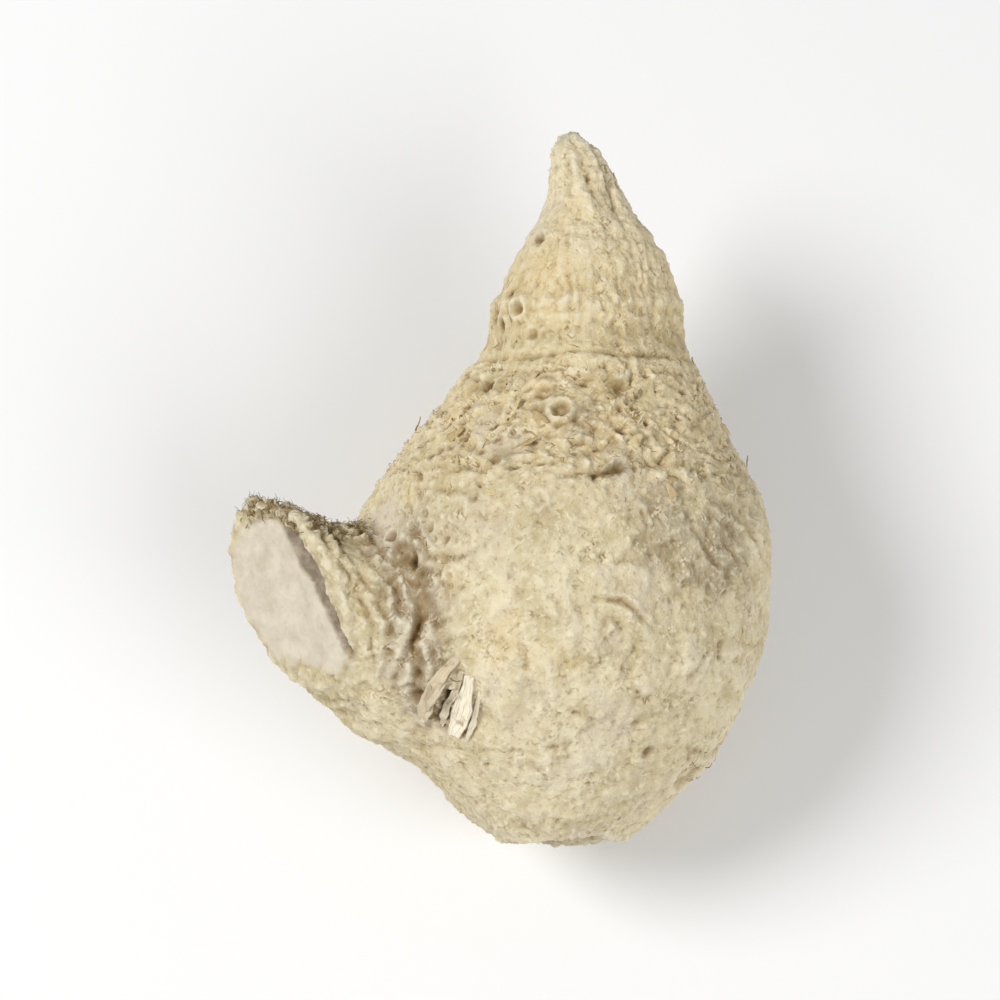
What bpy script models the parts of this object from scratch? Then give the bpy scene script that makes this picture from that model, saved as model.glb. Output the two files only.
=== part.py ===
"""A dried zedoary mother rhizome, lying on its side, as one closed solid.

It grew as one piece: a round belly, a ringed cone that ends in the growing point, and
the stump of a side branch that was broken off. Its frame is metres with +Z up. +Y runs
from the base to the growing point, the stump points to -X, and the origin is at the
middle of the bounding box on the surface that the rhizome rests on.
"""

import math

import bmesh
import bpy
from mathutils import Matrix, Vector

MM = 0.001

# Driving dimensions of the belly and cone
LENGTH = 54.6 * MM
BELLY_RADIUS = 16.0 * MM

# Height of the cross-section over its width, which changes between two shares of LENGTH
CONE_FLATNESS = 0.96
BELLY_FLATNESS = 0.90
FLATNESS_FROM = 0.2
FLATNESS_TO = 0.6

# How it lies: the cone points up a little, and the belly dried flat where it rests
CONE_RISE = math.radians(12)
REST_FLAT_DEPTH = 1.3 * MM

# Outline as (distance from the growing point, radius), in shares of LENGTH and BELLY_RADIUS
OUTLINE = (
    (0.000, 0.000),
    (0.012, 0.080),
    (0.032, 0.128),
    (0.075, 0.182),
    (0.143, 0.294),
    (0.241, 0.444),
    (0.290, 0.477),
    (0.330, 0.531),
    (0.371, 0.625),
    (0.450, 0.820),
    (0.551, 0.965),
    (0.635, 1.000),
    (0.730, 0.955),
    (0.830, 0.800),
    (0.905, 0.595),
    (0.950, 0.440),
    (0.980, 0.290),
    (1.000, 0.000),
)

# Leaf-scar rings as (distance from the growing point, height of the lip)
RINGS = (
    (8.6 * MM, 0.30 * MM),
    (17.4 * MM, 0.40 * MM),
    (26.2 * MM, 0.30 * MM),
    (46.5 * MM, 0.25 * MM),
)
RING_LIP = 1.1 * MM

# Middle line of the belly and cone: Y is 0 at this distance from the growing point, and the
# line sways as (distance from the growing point, offset along X, along Z)
MIDDLE_STATION = 35.5 * MM
SWAY = (
    (0.0 * MM, 0.9 * MM, 1.4 * MM),
    (3.8 * MM, 2.1 * MM, 1.4 * MM),
    (10.5 * MM, 2.4 * MM, 1.0 * MM),
    (17.5 * MM, 2.0 * MM, 0.6 * MM),
    (24.5 * MM, 0.8 * MM, 0.2 * MM),
    (34.0 * MM, 0.0 * MM, 0.0 * MM),
    (54.6 * MM, 0.4 * MM, 0.4 * MM),
)

# Soft lobes of the cross-section as (waves round the body, share of the radius, phase)
LOBES = ((2, 0.012, 0.9), (3, 0.018, 2.1), (5, 0.009, 0.4))

# Stump of the broken side branch, with (distance along it, radius) from inside the belly
# outwards. It was broken off on a slanting plane.
STUMP_START = Vector((0.0, -6.6, -0.1)) * MM
STUMP_LENGTH = 30.0 * MM
STUMP_OUTLINE = (
    (0.0 * MM, 0.0 * MM),
    (0.6 * MM, 4.0 * MM),
    (8.0 * MM, 7.8 * MM),
    (12.5 * MM, 8.2 * MM),
    (16.0 * MM, 7.0 * MM),
    (19.0 * MM, 5.8 * MM),
    (22.0 * MM, 5.4 * MM),
    (29.4 * MM, 5.2 * MM),
    (30.0 * MM, 0.0 * MM),
)
STUMP_LOBES = ((2, 0.035, 2.4), (3, 0.025, 0.3))
BREAK_CENTRE = Vector((-19.9, 0.6, 7.6)) * MM
BREAK_NORMAL = Vector((-0.71, -0.22, 0.67)).normalized()

# Low knobs as (distance from the growing point, angle from the top towards +X, radius,
# share of the radius that stands out)
KNOBS = (
    (30.6 * MM, math.radians(72), 5.6 * MM, 0.16),
    (44.0 * MM, math.radians(128), 3.4 * MM, 0.34),
    (42.5 * MM, math.radians(222), 3.0 * MM, 0.34),
    (27.5 * MM, math.radians(196), 3.0 * MM, 0.34),
)

# Fineness of the solid
PROFILE_STEPS = 96
ROUND_STEPS = 64
KNOB_SEGMENTS = 24
KNOB_RINGS = 14
MERGE_DISTANCE = 0.01 * MM
VOXEL = 0.75 * MM
SMOOTHING_FACTOR = 0.5
SMOOTHING_ROUNDS = 8
TRIANGLE_SHARE = 0.34
CUTTER_SIZE = 80.0 * MM

SKIN_COLOUR = (0.60, 0.50, 0.33, 1.0)
SKIN_ROUGHNESS = 0.86


def clear_scene():
    for thing in list(bpy.data.objects):
        bpy.data.objects.remove(thing, do_unlink=True)


def new_collection(name):
    made = bpy.data.collections.new(name)
    bpy.context.scene.collection.children.link(made)
    return made


def smooth_value(stations, at, column=1):
    """The value at a distance, on a smooth curve through the stations' values."""
    last = len(stations) - 1
    at = min(max(at, stations[0][0]), stations[last][0])
    i = max(k for k in range(last) if stations[k][0] <= at)

    def slope(k):
        low, high = max(k - 1, 0), min(k + 1, last)
        rise = stations[high][column] - stations[low][column]
        return rise / (stations[high][0] - stations[low][0])

    span = stations[i + 1][0] - stations[i][0]
    t = (at - stations[i][0]) / span
    return (
        stations[i][column] * (2 * t**3 - 3 * t**2 + 1)
        + stations[i + 1][column] * (3 * t**2 - 2 * t**3)
        + slope(i) * span * (t**3 - 2 * t**2 + t)
        + slope(i + 1) * span * (t**3 - t**2)
    )


def outline_radius(distance):
    """Radius of the turned body at a distance from the growing point, with its ring lips."""
    radius = smooth_value(OUTLINE, distance / LENGTH) * BELLY_RADIUS
    for ring, height in RINGS:
        beyond = (distance - ring) / RING_LIP
        radius += height * beyond * math.exp(0.5 * (1 - beyond * beyond))
    return max(radius, 0.0)


def turned_mesh(radius_of, length):
    """A profile down the Z axis, turned by a Screw modifier, as a plain mesh. radius_of gives
    the radius at a distance from the top. The points lie closer together near both ends."""
    count = PROFILE_STEPS
    shares = [(1 - math.cos(math.pi * i / count)) / 2 for i in range(count + 1)]
    points = [(radius_of(length * s), 0.0, -length * s) for s in shares]
    profile = bpy.data.meshes.new("profile")
    profile.from_pydata(points, [(i, i + 1) for i in range(count)], [])
    turned = bpy.data.objects.new("turned", profile)
    bpy.context.scene.collection.objects.link(turned)
    screw = turned.modifiers.new("screw", "SCREW")
    screw.steps = screw.render_steps = ROUND_STEPS
    screw.use_merge_vertices = True
    screw.merge_threshold = MERGE_DISTANCE
    bpy.context.view_layer.update()
    evaluated = turned.evaluated_get(bpy.context.evaluated_depsgraph_get())
    mesh = bpy.data.meshes.new_from_object(evaluated)
    bpy.data.objects.remove(turned, do_unlink=True)
    return mesh


def face_outwards(mesh):
    """Turns every face of a closed mesh outwards."""
    sound = bmesh.new()
    sound.from_mesh(mesh)
    bmesh.ops.recalc_face_normals(sound, faces=sound.faces)
    sound.to_mesh(mesh)
    sound.free()


def lobed_radius(radius, angle, lobes):
    """The radius at an angle, with the soft lobes of a grown cross-section."""
    for waves, share, phase in lobes:
        radius *= 1 + share * math.cos(waves * angle + phase)
    return radius


def middle_line(distance):
    """Point of the body's middle line at a distance from the growing point."""
    return Vector(
        (
            smooth_value(SWAY, distance, 1),
            MIDDLE_STATION - distance,
            smooth_value(SWAY, distance, 2),
        )
    )


def flatness(distance):
    """Height of the cross-section over its width, from the cone to the belly."""
    share = (distance / LENGTH - FLATNESS_FROM) / (FLATNESS_TO - FLATNESS_FROM)
    share = min(max(share, 0.0), 1.0)
    return CONE_FLATNESS + (BELLY_FLATNESS - CONE_FLATNESS) * share


def grown_point(distance, angle, radius):
    """A point of the grown body: angle runs from the top (+Z) towards +X."""
    lobed = lobed_radius(radius, angle, LOBES)
    offset = Vector(
        (lobed * math.sin(angle), 0.0, lobed * math.cos(angle) * flatness(distance))
    )
    return middle_line(distance) + offset


def make_body(collection):
    """The belly and cone, lying along Y, with the sway and lobes of a grown thing."""
    mesh = turned_mesh(outline_radius, LENGTH)
    for vertex in mesh.vertices:
        x, y, z = vertex.co
        vertex.co = grown_point(-z, math.atan2(x, y), math.hypot(x, y))
    face_outwards(mesh)
    body = bpy.data.objects.new("rhizome", mesh)
    collection.objects.link(body)
    return body


def as_helper(thing, collection):
    """Hides a shape that only cuts or joins the body."""
    for holder in thing.users_collection:
        holder.objects.unlink(thing)
    collection.objects.link(thing)
    thing.hide_render = True
    thing.display_type = "WIRE"
    return thing


def stump_radius(distance):
    """Radius of the side branch at a distance along its axis."""
    return max(smooth_value(STUMP_OUTLINE, distance), 0.0)


def make_stump(collection):
    """The side branch before it is broken off, wider where it leaves the belly."""
    mesh = turned_mesh(stump_radius, STUMP_LENGTH)
    for vertex in mesh.vertices:
        x, y, z = vertex.co
        angle = math.atan2(x, y)
        radius = lobed_radius(math.hypot(x, y), angle, STUMP_LOBES)
        vertex.co = (radius * math.sin(angle), radius * math.cos(angle), -z)
    face_outwards(mesh)
    stump = bpy.data.objects.new("stump", mesh)
    stump.location = STUMP_START
    stump.rotation_mode = "QUATERNION"
    stump.rotation_quaternion = (BREAK_CENTRE - STUMP_START).to_track_quat("Z", "Y")
    return as_helper(stump, collection)


def make_knob(number, distance, angle, radius, stands_out, collection):
    """A low round knob, where a root or a bud left the belly."""
    surface = grown_point(distance, angle, outline_radius(distance))
    inwards = (middle_line(distance) - surface).normalized()
    bpy.ops.mesh.primitive_uv_sphere_add(
        segments=KNOB_SEGMENTS, ring_count=KNOB_RINGS, radius=radius
    )
    knob = bpy.context.object
    knob.name = f"knob_{number}"
    knob.location = surface + inwards * radius * (1 - stands_out)
    return as_helper(knob, collection)


def make_cutter(name, point, normal, collection):
    """A cube whose one face lies on the plane through point, and which fills the side that
    normal points to."""
    bpy.ops.mesh.primitive_cube_add(size=CUTTER_SIZE)
    cutter = bpy.context.object
    cutter.name = name
    cutter.rotation_mode = "QUATERNION"
    cutter.rotation_quaternion = normal.to_track_quat("Z", "Y")
    cutter.location = point + normal * CUTTER_SIZE / 2
    return as_helper(cutter, collection)


def add_boolean(body, helper, operation):
    boolean = body.modifiers.new(helper.name, "BOOLEAN")
    boolean.operation = operation
    boolean.solver = "EXACT"
    boolean.object = helper


def blend_joints(body):
    """Makes one even skin over the joined shapes and softens the creases between them."""
    remesh = body.modifiers.new("even_skin", "REMESH")
    remesh.mode = "VOXEL"
    remesh.voxel_size = VOXEL
    smooth = body.modifiers.new("soft_creases", "SMOOTH")
    smooth.factor = SMOOTHING_FACTOR
    smooth.iterations = SMOOTHING_ROUNDS
    lighten = body.modifiers.new("fewer_faces", "DECIMATE")
    lighten.ratio = TRIANGLE_SHARE


def box_of(body):
    """Lowest and highest corner of the finished body, with its modifiers."""
    bpy.context.view_layer.update()
    evaluated = body.evaluated_get(bpy.context.evaluated_depsgraph_get())
    mesh = evaluated.to_mesh()
    corners = [body.matrix_world @ vertex.co for vertex in mesh.vertices]
    evaluated.to_mesh_clear()
    low = Vector([min(c[axis] for c in corners) for axis in range(3)])
    high = Vector([max(c[axis] for c in corners) for axis in range(3)])
    return low, high


def make_material():
    skin = bpy.data.materials.new("dry_skin")
    skin.use_nodes = True
    shader = skin.node_tree.nodes["Principled BSDF"]
    shader.inputs["Base Color"].default_value = SKIN_COLOUR
    shader.inputs["Roughness"].default_value = SKIN_ROUGHNESS
    shader.inputs["Metallic"].default_value = 0.0
    return skin


def lay_down(things):
    """Turns everything about X, so that the cone rises and the belly's rest flat faces down."""
    lying = Matrix.Rotation(CONE_RISE, 4, "X")
    for thing in things:
        thing.matrix_world = lying @ thing.matrix_world
    bpy.context.view_layer.update()


def put_on_origin(body, things):
    """Moves everything so that the origin is at the middle of the body's underside."""
    low, high = box_of(body)
    shift = Matrix.Translation((-(low.x + high.x) / 2, -(low.y + high.y) / 2, -low.z))
    for thing in things:
        thing.matrix_world = shift @ thing.matrix_world


def build():
    clear_scene()
    plant = new_collection("zedoary")
    helpers = new_collection("cutters")
    body = make_body(plant)
    add_boolean(body, make_stump(helpers), "UNION")
    for number, knob in enumerate(KNOBS, start=1):
        add_boolean(body, make_knob(number, *knob, helpers), "UNION")
    blend_joints(body)
    side_break = make_cutter("side_break", BREAK_CENTRE, BREAK_NORMAL, helpers)
    add_boolean(body, side_break, "DIFFERENCE")
    bpy.context.view_layer.update()
    lay_down([body, *helpers.objects])
    underside = Vector((0, 0, box_of(body)[0].z + REST_FLAT_DEPTH))
    rest_flat = make_cutter("rest_flat", underside, Vector((0, 0, -1)), helpers)
    add_boolean(body, rest_flat, "DIFFERENCE")
    bpy.context.view_layer.update()
    put_on_origin(body, [body, *helpers.objects])
    body.data.materials.append(make_material())
    body.data.shade_smooth()


build()
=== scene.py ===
# %% [markdown]
# # A dried zedoary rhizome
#
# Zedoary is a relative of ginger and turmeric. The spice is its dried mother rhizome, a
# swollen underground stem: a round belly, a cone that ends in the growing point, a ring for
# each leaf that it once had, and the stump of a side branch that was broken off.
#
# It grew as one piece, so the model is one skin with a finely worked surface. Only what is
# loose on the real thing is a mesh of its own: torn scales of old leaf sheaths, root fibres,
# crumbs and the ribbons of a torn root.

import math

import bmesh
import bpy
import numpy as np
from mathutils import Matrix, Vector


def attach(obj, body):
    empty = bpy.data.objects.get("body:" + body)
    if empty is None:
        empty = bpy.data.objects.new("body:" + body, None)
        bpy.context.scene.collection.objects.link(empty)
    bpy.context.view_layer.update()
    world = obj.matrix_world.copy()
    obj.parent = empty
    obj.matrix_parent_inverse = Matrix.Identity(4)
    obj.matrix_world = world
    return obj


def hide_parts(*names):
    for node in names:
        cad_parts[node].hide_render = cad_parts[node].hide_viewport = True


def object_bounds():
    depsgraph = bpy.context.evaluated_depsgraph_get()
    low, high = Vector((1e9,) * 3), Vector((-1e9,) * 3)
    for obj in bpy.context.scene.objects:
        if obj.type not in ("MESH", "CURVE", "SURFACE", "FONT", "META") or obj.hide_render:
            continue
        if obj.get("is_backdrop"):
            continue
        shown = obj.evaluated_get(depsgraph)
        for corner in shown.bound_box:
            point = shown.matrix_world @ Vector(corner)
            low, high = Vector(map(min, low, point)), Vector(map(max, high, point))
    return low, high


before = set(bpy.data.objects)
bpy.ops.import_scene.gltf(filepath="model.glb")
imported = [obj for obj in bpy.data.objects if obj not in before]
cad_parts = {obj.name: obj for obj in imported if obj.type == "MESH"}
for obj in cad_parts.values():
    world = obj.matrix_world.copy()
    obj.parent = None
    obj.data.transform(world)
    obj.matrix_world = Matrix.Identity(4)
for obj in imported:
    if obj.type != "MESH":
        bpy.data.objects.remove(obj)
cad_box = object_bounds()
MM = 0.001
print("solid size in mm:", [round(side / MM, 1) for side in cad_box[1] - cad_box[0]])

# %% [markdown]
# ## Stage
#
# The rhizome lies on a plain pale floor, and the camera looks down on it as one would look
# at it on a table. A long lens keeps its proportions true. Two large soft lamps stand over
# it, one on each side. The left one is stronger, so that the wrinkles cast small shadows.

# %% Camera
VIEW_ELEVATION = math.radians(75)
FRAME_WIDTH = 76.0
LENS = 135.0
SENSOR = 36.0
NEAREST_SEEN = 0.01


def make_camera():
    low, high = cad_box
    back = Vector((0.0, -math.cos(VIEW_ELEVATION), math.sin(VIEW_ELEVATION)))
    camera = bpy.data.objects.new("camera", bpy.data.cameras.new("camera"))
    bpy.context.scene.collection.objects.link(camera)
    camera.data.lens = LENS
    camera.data.sensor_width = SENSOR
    camera.data.clip_start = NEAREST_SEEN
    camera.location = (low + high) / 2 + back * (FRAME_WIDTH * MM * LENS / SENSOR)
    camera.rotation_euler = (-back).to_track_quat("-Z", "Y").to_euler()
    bpy.context.scene.camera = camera


make_camera()
bpy.context.scene.view_settings.view_transform = "Standard"

# %% Node helper
# One helper adds a node of any kind, in a material or in a geometry tree, sets its choices
# and plugs its inputs. A node can hold several sockets of one name, so it takes the one in use.


def in_use(sockets, name):
    return next(socket for socket in sockets if socket.name == name and socket.enabled)


def plug(tree, value, socket):
    """Links a socket, or sets a plain value."""
    if isinstance(value, bpy.types.NodeSocket):
        tree.links.new(value, socket)
    else:
        socket.default_value = value


def add_node(tree, kind, inputs, output=None, **choices):
    """Adds a node and returns the wanted output, or the node itself."""
    node = tree.nodes.new(kind)
    for name, value in choices.items():
        setattr(node, name, value)
    for name, value in inputs.items():
        plug(tree, value, in_use(node.inputs, name))
    return in_use(node.outputs, output) if output else node


def new_material(name):
    made = bpy.data.materials.new(name)
    made.use_nodes = True
    return made, made.node_tree, made.node_tree.nodes["Principled BSDF"]


# %% Floor and lamps
FLOOR_SIZE = 2.0
FLOOR_GREY = 0.88
AIM = Vector((0.0, 0.0, 0.014))
KEY = {"place": (-0.30, 0.03, 0.37), "size": 0.22, "watts": 1.42}
FILL = {"place": (0.25, -0.23, 0.34), "size": 0.36, "watts": 0.98}
SKY_STRENGTH = 0.36


def make_floor():
    bpy.ops.mesh.primitive_plane_add(size=FLOOR_SIZE)
    floor = bpy.context.object
    floor.name = "floor"
    made, tree, shader = new_material("pale_floor")
    shader.inputs["Base Color"].default_value = (FLOOR_GREY, FLOOR_GREY, FLOOR_GREY, 1.0)
    shader.inputs["Roughness"].default_value = 0.9
    floor.data.materials.append(made)
    floor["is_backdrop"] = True


def make_lamp(name, place, size, watts):
    lamp = bpy.data.lights.new(name, "AREA")
    lamp.shape = "DISK"
    lamp.size = size
    lamp.energy = watts
    holder = bpy.data.objects.new(name, lamp)
    bpy.context.scene.collection.objects.link(holder)
    holder.location = place
    holder.rotation_euler = (AIM - holder.location).to_track_quat("-Z", "Y").to_euler()


make_floor()
make_lamp("key_lamp", **KEY)
make_lamp("fill_lamp", **FILL)
sky = bpy.data.worlds.new("studio")
sky.use_nodes = True
sky_light = sky.node_tree.nodes["Background"].inputs
sky_light["Color"].default_value = (1.0, 1.0, 1.0, 1.0)
sky_light["Strength"].default_value = SKY_STRENGTH
bpy.context.scene.world = sky
print("lamp watts:", KEY["watts"], FILL["watts"])

# %% [markdown]
# ## Where things are on a rhizome
#
# A grower would place a mark by how far it is from the growing point and on which side it
# sits. So each point gets a distance down from the tip, and an angle round the middle line
# that is 0 on top and grows towards +X. The middle line sways a little, as the stem did.
# These numbers are the solid's own driving dimensions, in millimetres. All the sculpting
# below is done in millimetres too, and turned into metres at the end.

# %% Coordinates of the belly and cone
LENGTH = 54.6
MIDDLE_STATION = 35.5
BELLY_MIDDLE = np.array((4.21, -7.72, 13.09))
CONE_RISE = math.radians(12)
SWAY_AT = (0.0, 3.8, 10.5, 17.5, 24.5, 34.0, 54.6)
SWAY_X = (0.9, 2.1, 2.4, 2.0, 0.8, 0.0, 0.4)
SWAY_Z = (1.4, 1.4, 1.0, 0.6, 0.2, 0.0, 0.4)
SIDEWARD = np.array((1.0, 0.0, 0.0))
TIPWARD = np.array((0.0, math.cos(CONE_RISE), math.sin(CONE_RISE)))
UPWARD = np.array((0.0, -math.sin(CONE_RISE), math.cos(CONE_RISE)))


def to_frame(side, tipward, up):
    """A point or direction of the rhizome's own axes, turned into the frame's axes."""
    return side * SIDEWARD + tipward * TIPWARD + up * UPWARD


def body_places(places):
    """Distance from the tip, angle and radius round the middle line, for points in mm."""
    from_middle = places - BELLY_MIDDLE
    down = MIDDLE_STATION - from_middle @ TIPWARD
    side = from_middle @ SIDEWARD - np.interp(down, SWAY_AT, SWAY_X)
    rise = from_middle @ UPWARD - np.interp(down, SWAY_AT, SWAY_Z)
    return down, np.arctan2(side, rise), np.hypot(side, rise)


# %% [markdown]
# The side stump has its own axis, from inside the belly to the middle of the break. A point
# on it has a distance along that axis and a reach away from it.

# %% Coordinates of the stump
STUMP_START = BELLY_MIDDLE + to_frame(0.0, -6.6, -0.1)
BREAK_CENTRE = BELLY_MIDDLE + to_frame(-19.9, 0.6, 7.6)
BREAK_NORMAL = to_frame(-0.71, -0.22, 0.67)
BREAK_NORMAL = BREAK_NORMAL / np.linalg.norm(BREAK_NORMAL)
STUMP_AXIS = (BREAK_CENTRE - STUMP_START) / np.linalg.norm(BREAK_CENTRE - STUMP_START)
STUMP_RADIUS_AT = (0.0, 12.5, 16.0, 19.0, 22.0, 29.4)
STUMP_RADIUS = (4.0, 8.2, 7.0, 5.8, 5.4, 5.2)


def stump_places(places):
    """Distance along the stump, reach from its axis, and direction of that reach."""
    from_start = places - STUMP_START
    along_axis = from_start @ STUMP_AXIS
    outward_run = from_start - along_axis[:, None] * STUMP_AXIS
    far = np.linalg.norm(outward_run, axis=1)
    return along_axis, far, outward_run / np.maximum(far, 0.001)[:, None]


# %% [markdown]
# ## A fine skin to work on
#
# The solid's faces are about a millimetre wide, too coarse for wrinkles. A voxel remesh lays
# an even net over it, and a few dozen rounds of smoothing melt the flat facets away. Points
# on the broken face are held still, so its edge stays crisp, and those near the tip move
# little, because smoothing would shorten it.

# %% Mesh helpers


def plain_copy(node, name):
    """The node's mesh with its loose triangles merged, as a new object."""
    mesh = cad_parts[node].data.copy()
    work = bmesh.new()
    work.from_mesh(mesh)
    bmesh.ops.remove_doubles(work, verts=work.verts, dist=0.001 * MM)
    work.to_mesh(mesh)
    work.free()
    mesh.materials.clear()
    made = bpy.data.objects.new(name, mesh)
    bpy.context.scene.collection.objects.link(made)
    return made


def evaluated_mesh(thing):
    """What the object's modifiers make of it, as a mesh of its own."""
    seen = thing.evaluated_get(bpy.context.evaluated_depsgraph_get())
    return bpy.data.meshes.new_from_object(seen)


def apply_modifiers(thing):
    mesh = evaluated_mesh(thing)
    thing.modifiers.clear()
    thing.data = mesh


def read(items, field, width, kind=np.float32):
    flat = np.empty(len(items) * width, kind)
    items.foreach_get(field, flat)
    return flat.reshape(-1, width)


def move_points(mesh, places):
    mesh.vertices.foreach_set("co", (places * MM).astype(np.float32).ravel())
    mesh.update()


# %% Lay the net
NET_SPACING = 0.175

skin = plain_copy("rhizome", "dry_skin")
net = skin.modifiers.new("net", "REMESH")
net.mode = "VOXEL"
net.voxel_size = NET_SPACING * MM
apply_modifiers(skin)
points = read(skin.data.vertices, "co", 3).astype(float) / MM
edges = read(skin.data.edges, "vertices", 2, np.int32)
count = len(points)
print("net points:", count)

# %% [markdown]
# `neighbour_mean` is the one tool behind both smoothing and, later, finding hollows: it
# gives each point the mean of the points that it shares an edge with.

# %% Melt the facets
MELT_ROUNDS = 46
MELT_STEP = 0.5
BREAK_KEEP = 0.35
BREAK_REACH = 9.0
TIP_FREEDOM = 0.25


def neighbour_mean(values):
    """Mean of each point's neighbours, for one column of values or several."""
    shared = np.maximum(np.bincount(edges.ravel(), minlength=count), 1)
    columns = values.reshape(count, -1)
    mean = np.empty_like(columns)
    for k in range(columns.shape[1]):
        total = np.bincount(edges[:, 0], columns[edges[:, 1], k], count)
        total += np.bincount(edges[:, 1], columns[edges[:, 0], k], count)
        mean[:, k] = total / shared
    return mean.reshape(values.shape)


def ramp(values, low, high):
    """Rises smoothly from 0 at low to 1 at high; low may be the larger."""
    share = np.clip((values - low) / (high - low), 0.0, 1.0)
    return share * share * (3.0 - 2.0 * share)


def hump(values, width):
    """A smooth hump of height 1 round 0."""
    return np.exp(-((values / width) ** 2))


above_break = (points - BREAK_CENTRE) @ BREAK_NORMAL
freedom = ramp(np.abs(above_break), BREAK_KEEP * 0.5, BREAK_KEEP)
freedom[stump_places(points)[1] > BREAK_REACH] = 1.0
freedom *= TIP_FREEDOM + (1 - TIP_FREEDOM) * ramp(body_places(points)[0], 0.5, 7.0)
for turn in range(MELT_ROUNDS):
    points += (MELT_STEP * freedom)[:, None] * (neighbour_mean(points) - points)
move_points(skin.data, points)
normals = read(skin.data.vertices, "normal", 3).astype(float)

# %% [markdown]
# ## Roughness with a seed
#
# Nature repeats nothing, but a script has to give the same rhizome each time. `wander` is a
# smooth random field: it picks a random slope for each corner of a grid and blends between
# them. The same seed gives the same field. Squeezing the points before they go in stretches
# the pattern, and that is how wrinkles run lengthwise. Shifting them by another field first
# makes the pattern curl.

# %% A smooth random field
SLOPES = 256
FIELD_GAIN = 1.6


def wander(places, grain, seed):
    """A field from about -1 to 1, whose waves are about two grains long."""
    dice = np.random.default_rng(seed)
    slopes = dice.normal(size=(SLOPES, 3))
    slopes /= np.linalg.norm(slopes, axis=1)[:, None]
    order = dice.permutation(SLOPES)
    scaled = places / grain + dice.uniform(0, 64, 3)
    corner = np.floor(scaled).astype(int)
    inside = scaled - corner
    blend = inside**3 * (inside * (inside * 6 - 15) + 10)
    total = np.zeros(len(places))
    for step in np.ndindex(2, 2, 2):
        x, y, z = ((corner + step) % SLOPES).T
        slope = slopes[order[(order[(order[x] + y) % SLOPES] + z) % SLOPES]]
        weight = np.prod(np.where(step, blend, 1 - blend), axis=1)
        total += weight * np.sum(slope * (inside - step), axis=1)
    return total * FIELD_GAIN


def rough(places, grain, seed, layers=3):
    """Several fields on top of each other, each half as wide and half as strong."""
    total = np.zeros(len(places))
    for k in range(layers):
        total += wander(places, grain / 2**k, seed + k) / 2**k
    return total


# %% [markdown]
# Each point now learns where it is, and how much it belongs to the stump, to the break or to
# the body. `lengthwise` gives the places squeezed for wrinkles that run from base to tip, and
# `curled` gives them shifted for ridges that curl.

# %% Measure every point once
BODY_ROUND = 9
TWIST = 0.7
CURLING = 0.9
STRETCH = 0.33

distance, angle, radius = body_places(points)
along, reach, outward = stump_places(points)
stump_radius = np.interp(along, STUMP_RADIUS_AT, STUMP_RADIUS)
on_stump = ramp(along, 14.5, 17.5) * ramp(reach - stump_radius, 0.9, 0.3)
on_break = ramp(np.abs(above_break), 0.45, 0.15) * ramp(reach, BREAK_REACH, 8.0)
on_body = (1 - on_stump) * (1 - on_break)
round_body = np.stack((BODY_ROUND * np.cos(angle), BODY_ROUND * np.sin(angle), distance), axis=1)
twist = np.stack([wander(points, 2.4, seed) for seed in (1, 2, 3)], axis=1)
lengthwise = (round_body + TWIST * twist) * (1, 1, STRETCH)
curled = points + CURLING * twist
ragged = rough(points, 0.8, 4)
blot = rough(points, 1.8, 5)
print("share of points on the stump:", round(float(on_stump.mean()), 3))

# %% [markdown]
# ## Places and patches
#
# `spot_on` finds the point of the skin at a distance and an angle, so every mark is placed
# the way that a person would say it. `patch` gives a soft, uneven blot round such a place,
# and `away_from_path` measures from a line through several of them.

# %% Tools for placing
OFF_BODY_PENALTY = 400.0


def spot_index(mark_distance, mark_angle):
    turn = np.angle(np.exp(1j * (angle - math.radians(mark_angle))))
    miss = (distance - mark_distance) ** 2 + (turn * np.maximum(radius, 1.0)) ** 2
    return np.argmin(miss + OFF_BODY_PENALTY * (1 - on_body))


def spot_on(mark_distance, mark_angle):
    """Place on the skin, in mm, at a distance from the tip and an angle in degrees."""
    return points[spot_index(mark_distance, mark_angle)]


def away_from(place):
    return np.linalg.norm(points - place, axis=1)


def away_from_path(stations):
    """Distance of every point from a path, and how far along it the nearest place is."""
    places = [spot_on(*station) for station in stations]
    nearest = np.full(count, np.inf)
    share_along = np.zeros(count)
    for k, (start, end) in enumerate(zip(places, places[1:])):
        run = end - start
        share = np.clip((points - start) @ run / max(run @ run, 0.001), 0.0, 1.0)
        gap = np.linalg.norm(points - start - share[:, None] * run, axis=1)
        closer = gap < nearest
        share_along[closer] = (k + share[closer]) / (len(places) - 1)
        nearest = np.minimum(nearest, gap)
    return nearest, share_along


def patch(mark_distance, mark_angle, size, strength=1.0):
    off = away_from(spot_on(mark_distance, mark_angle)) + 0.5 * size * blot
    return strength * ramp(off, 1.15 * size, 0.45 * size)


def all_patches(marks):
    return np.maximum.reduce([patch(*mark) for mark in marks])
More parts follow.
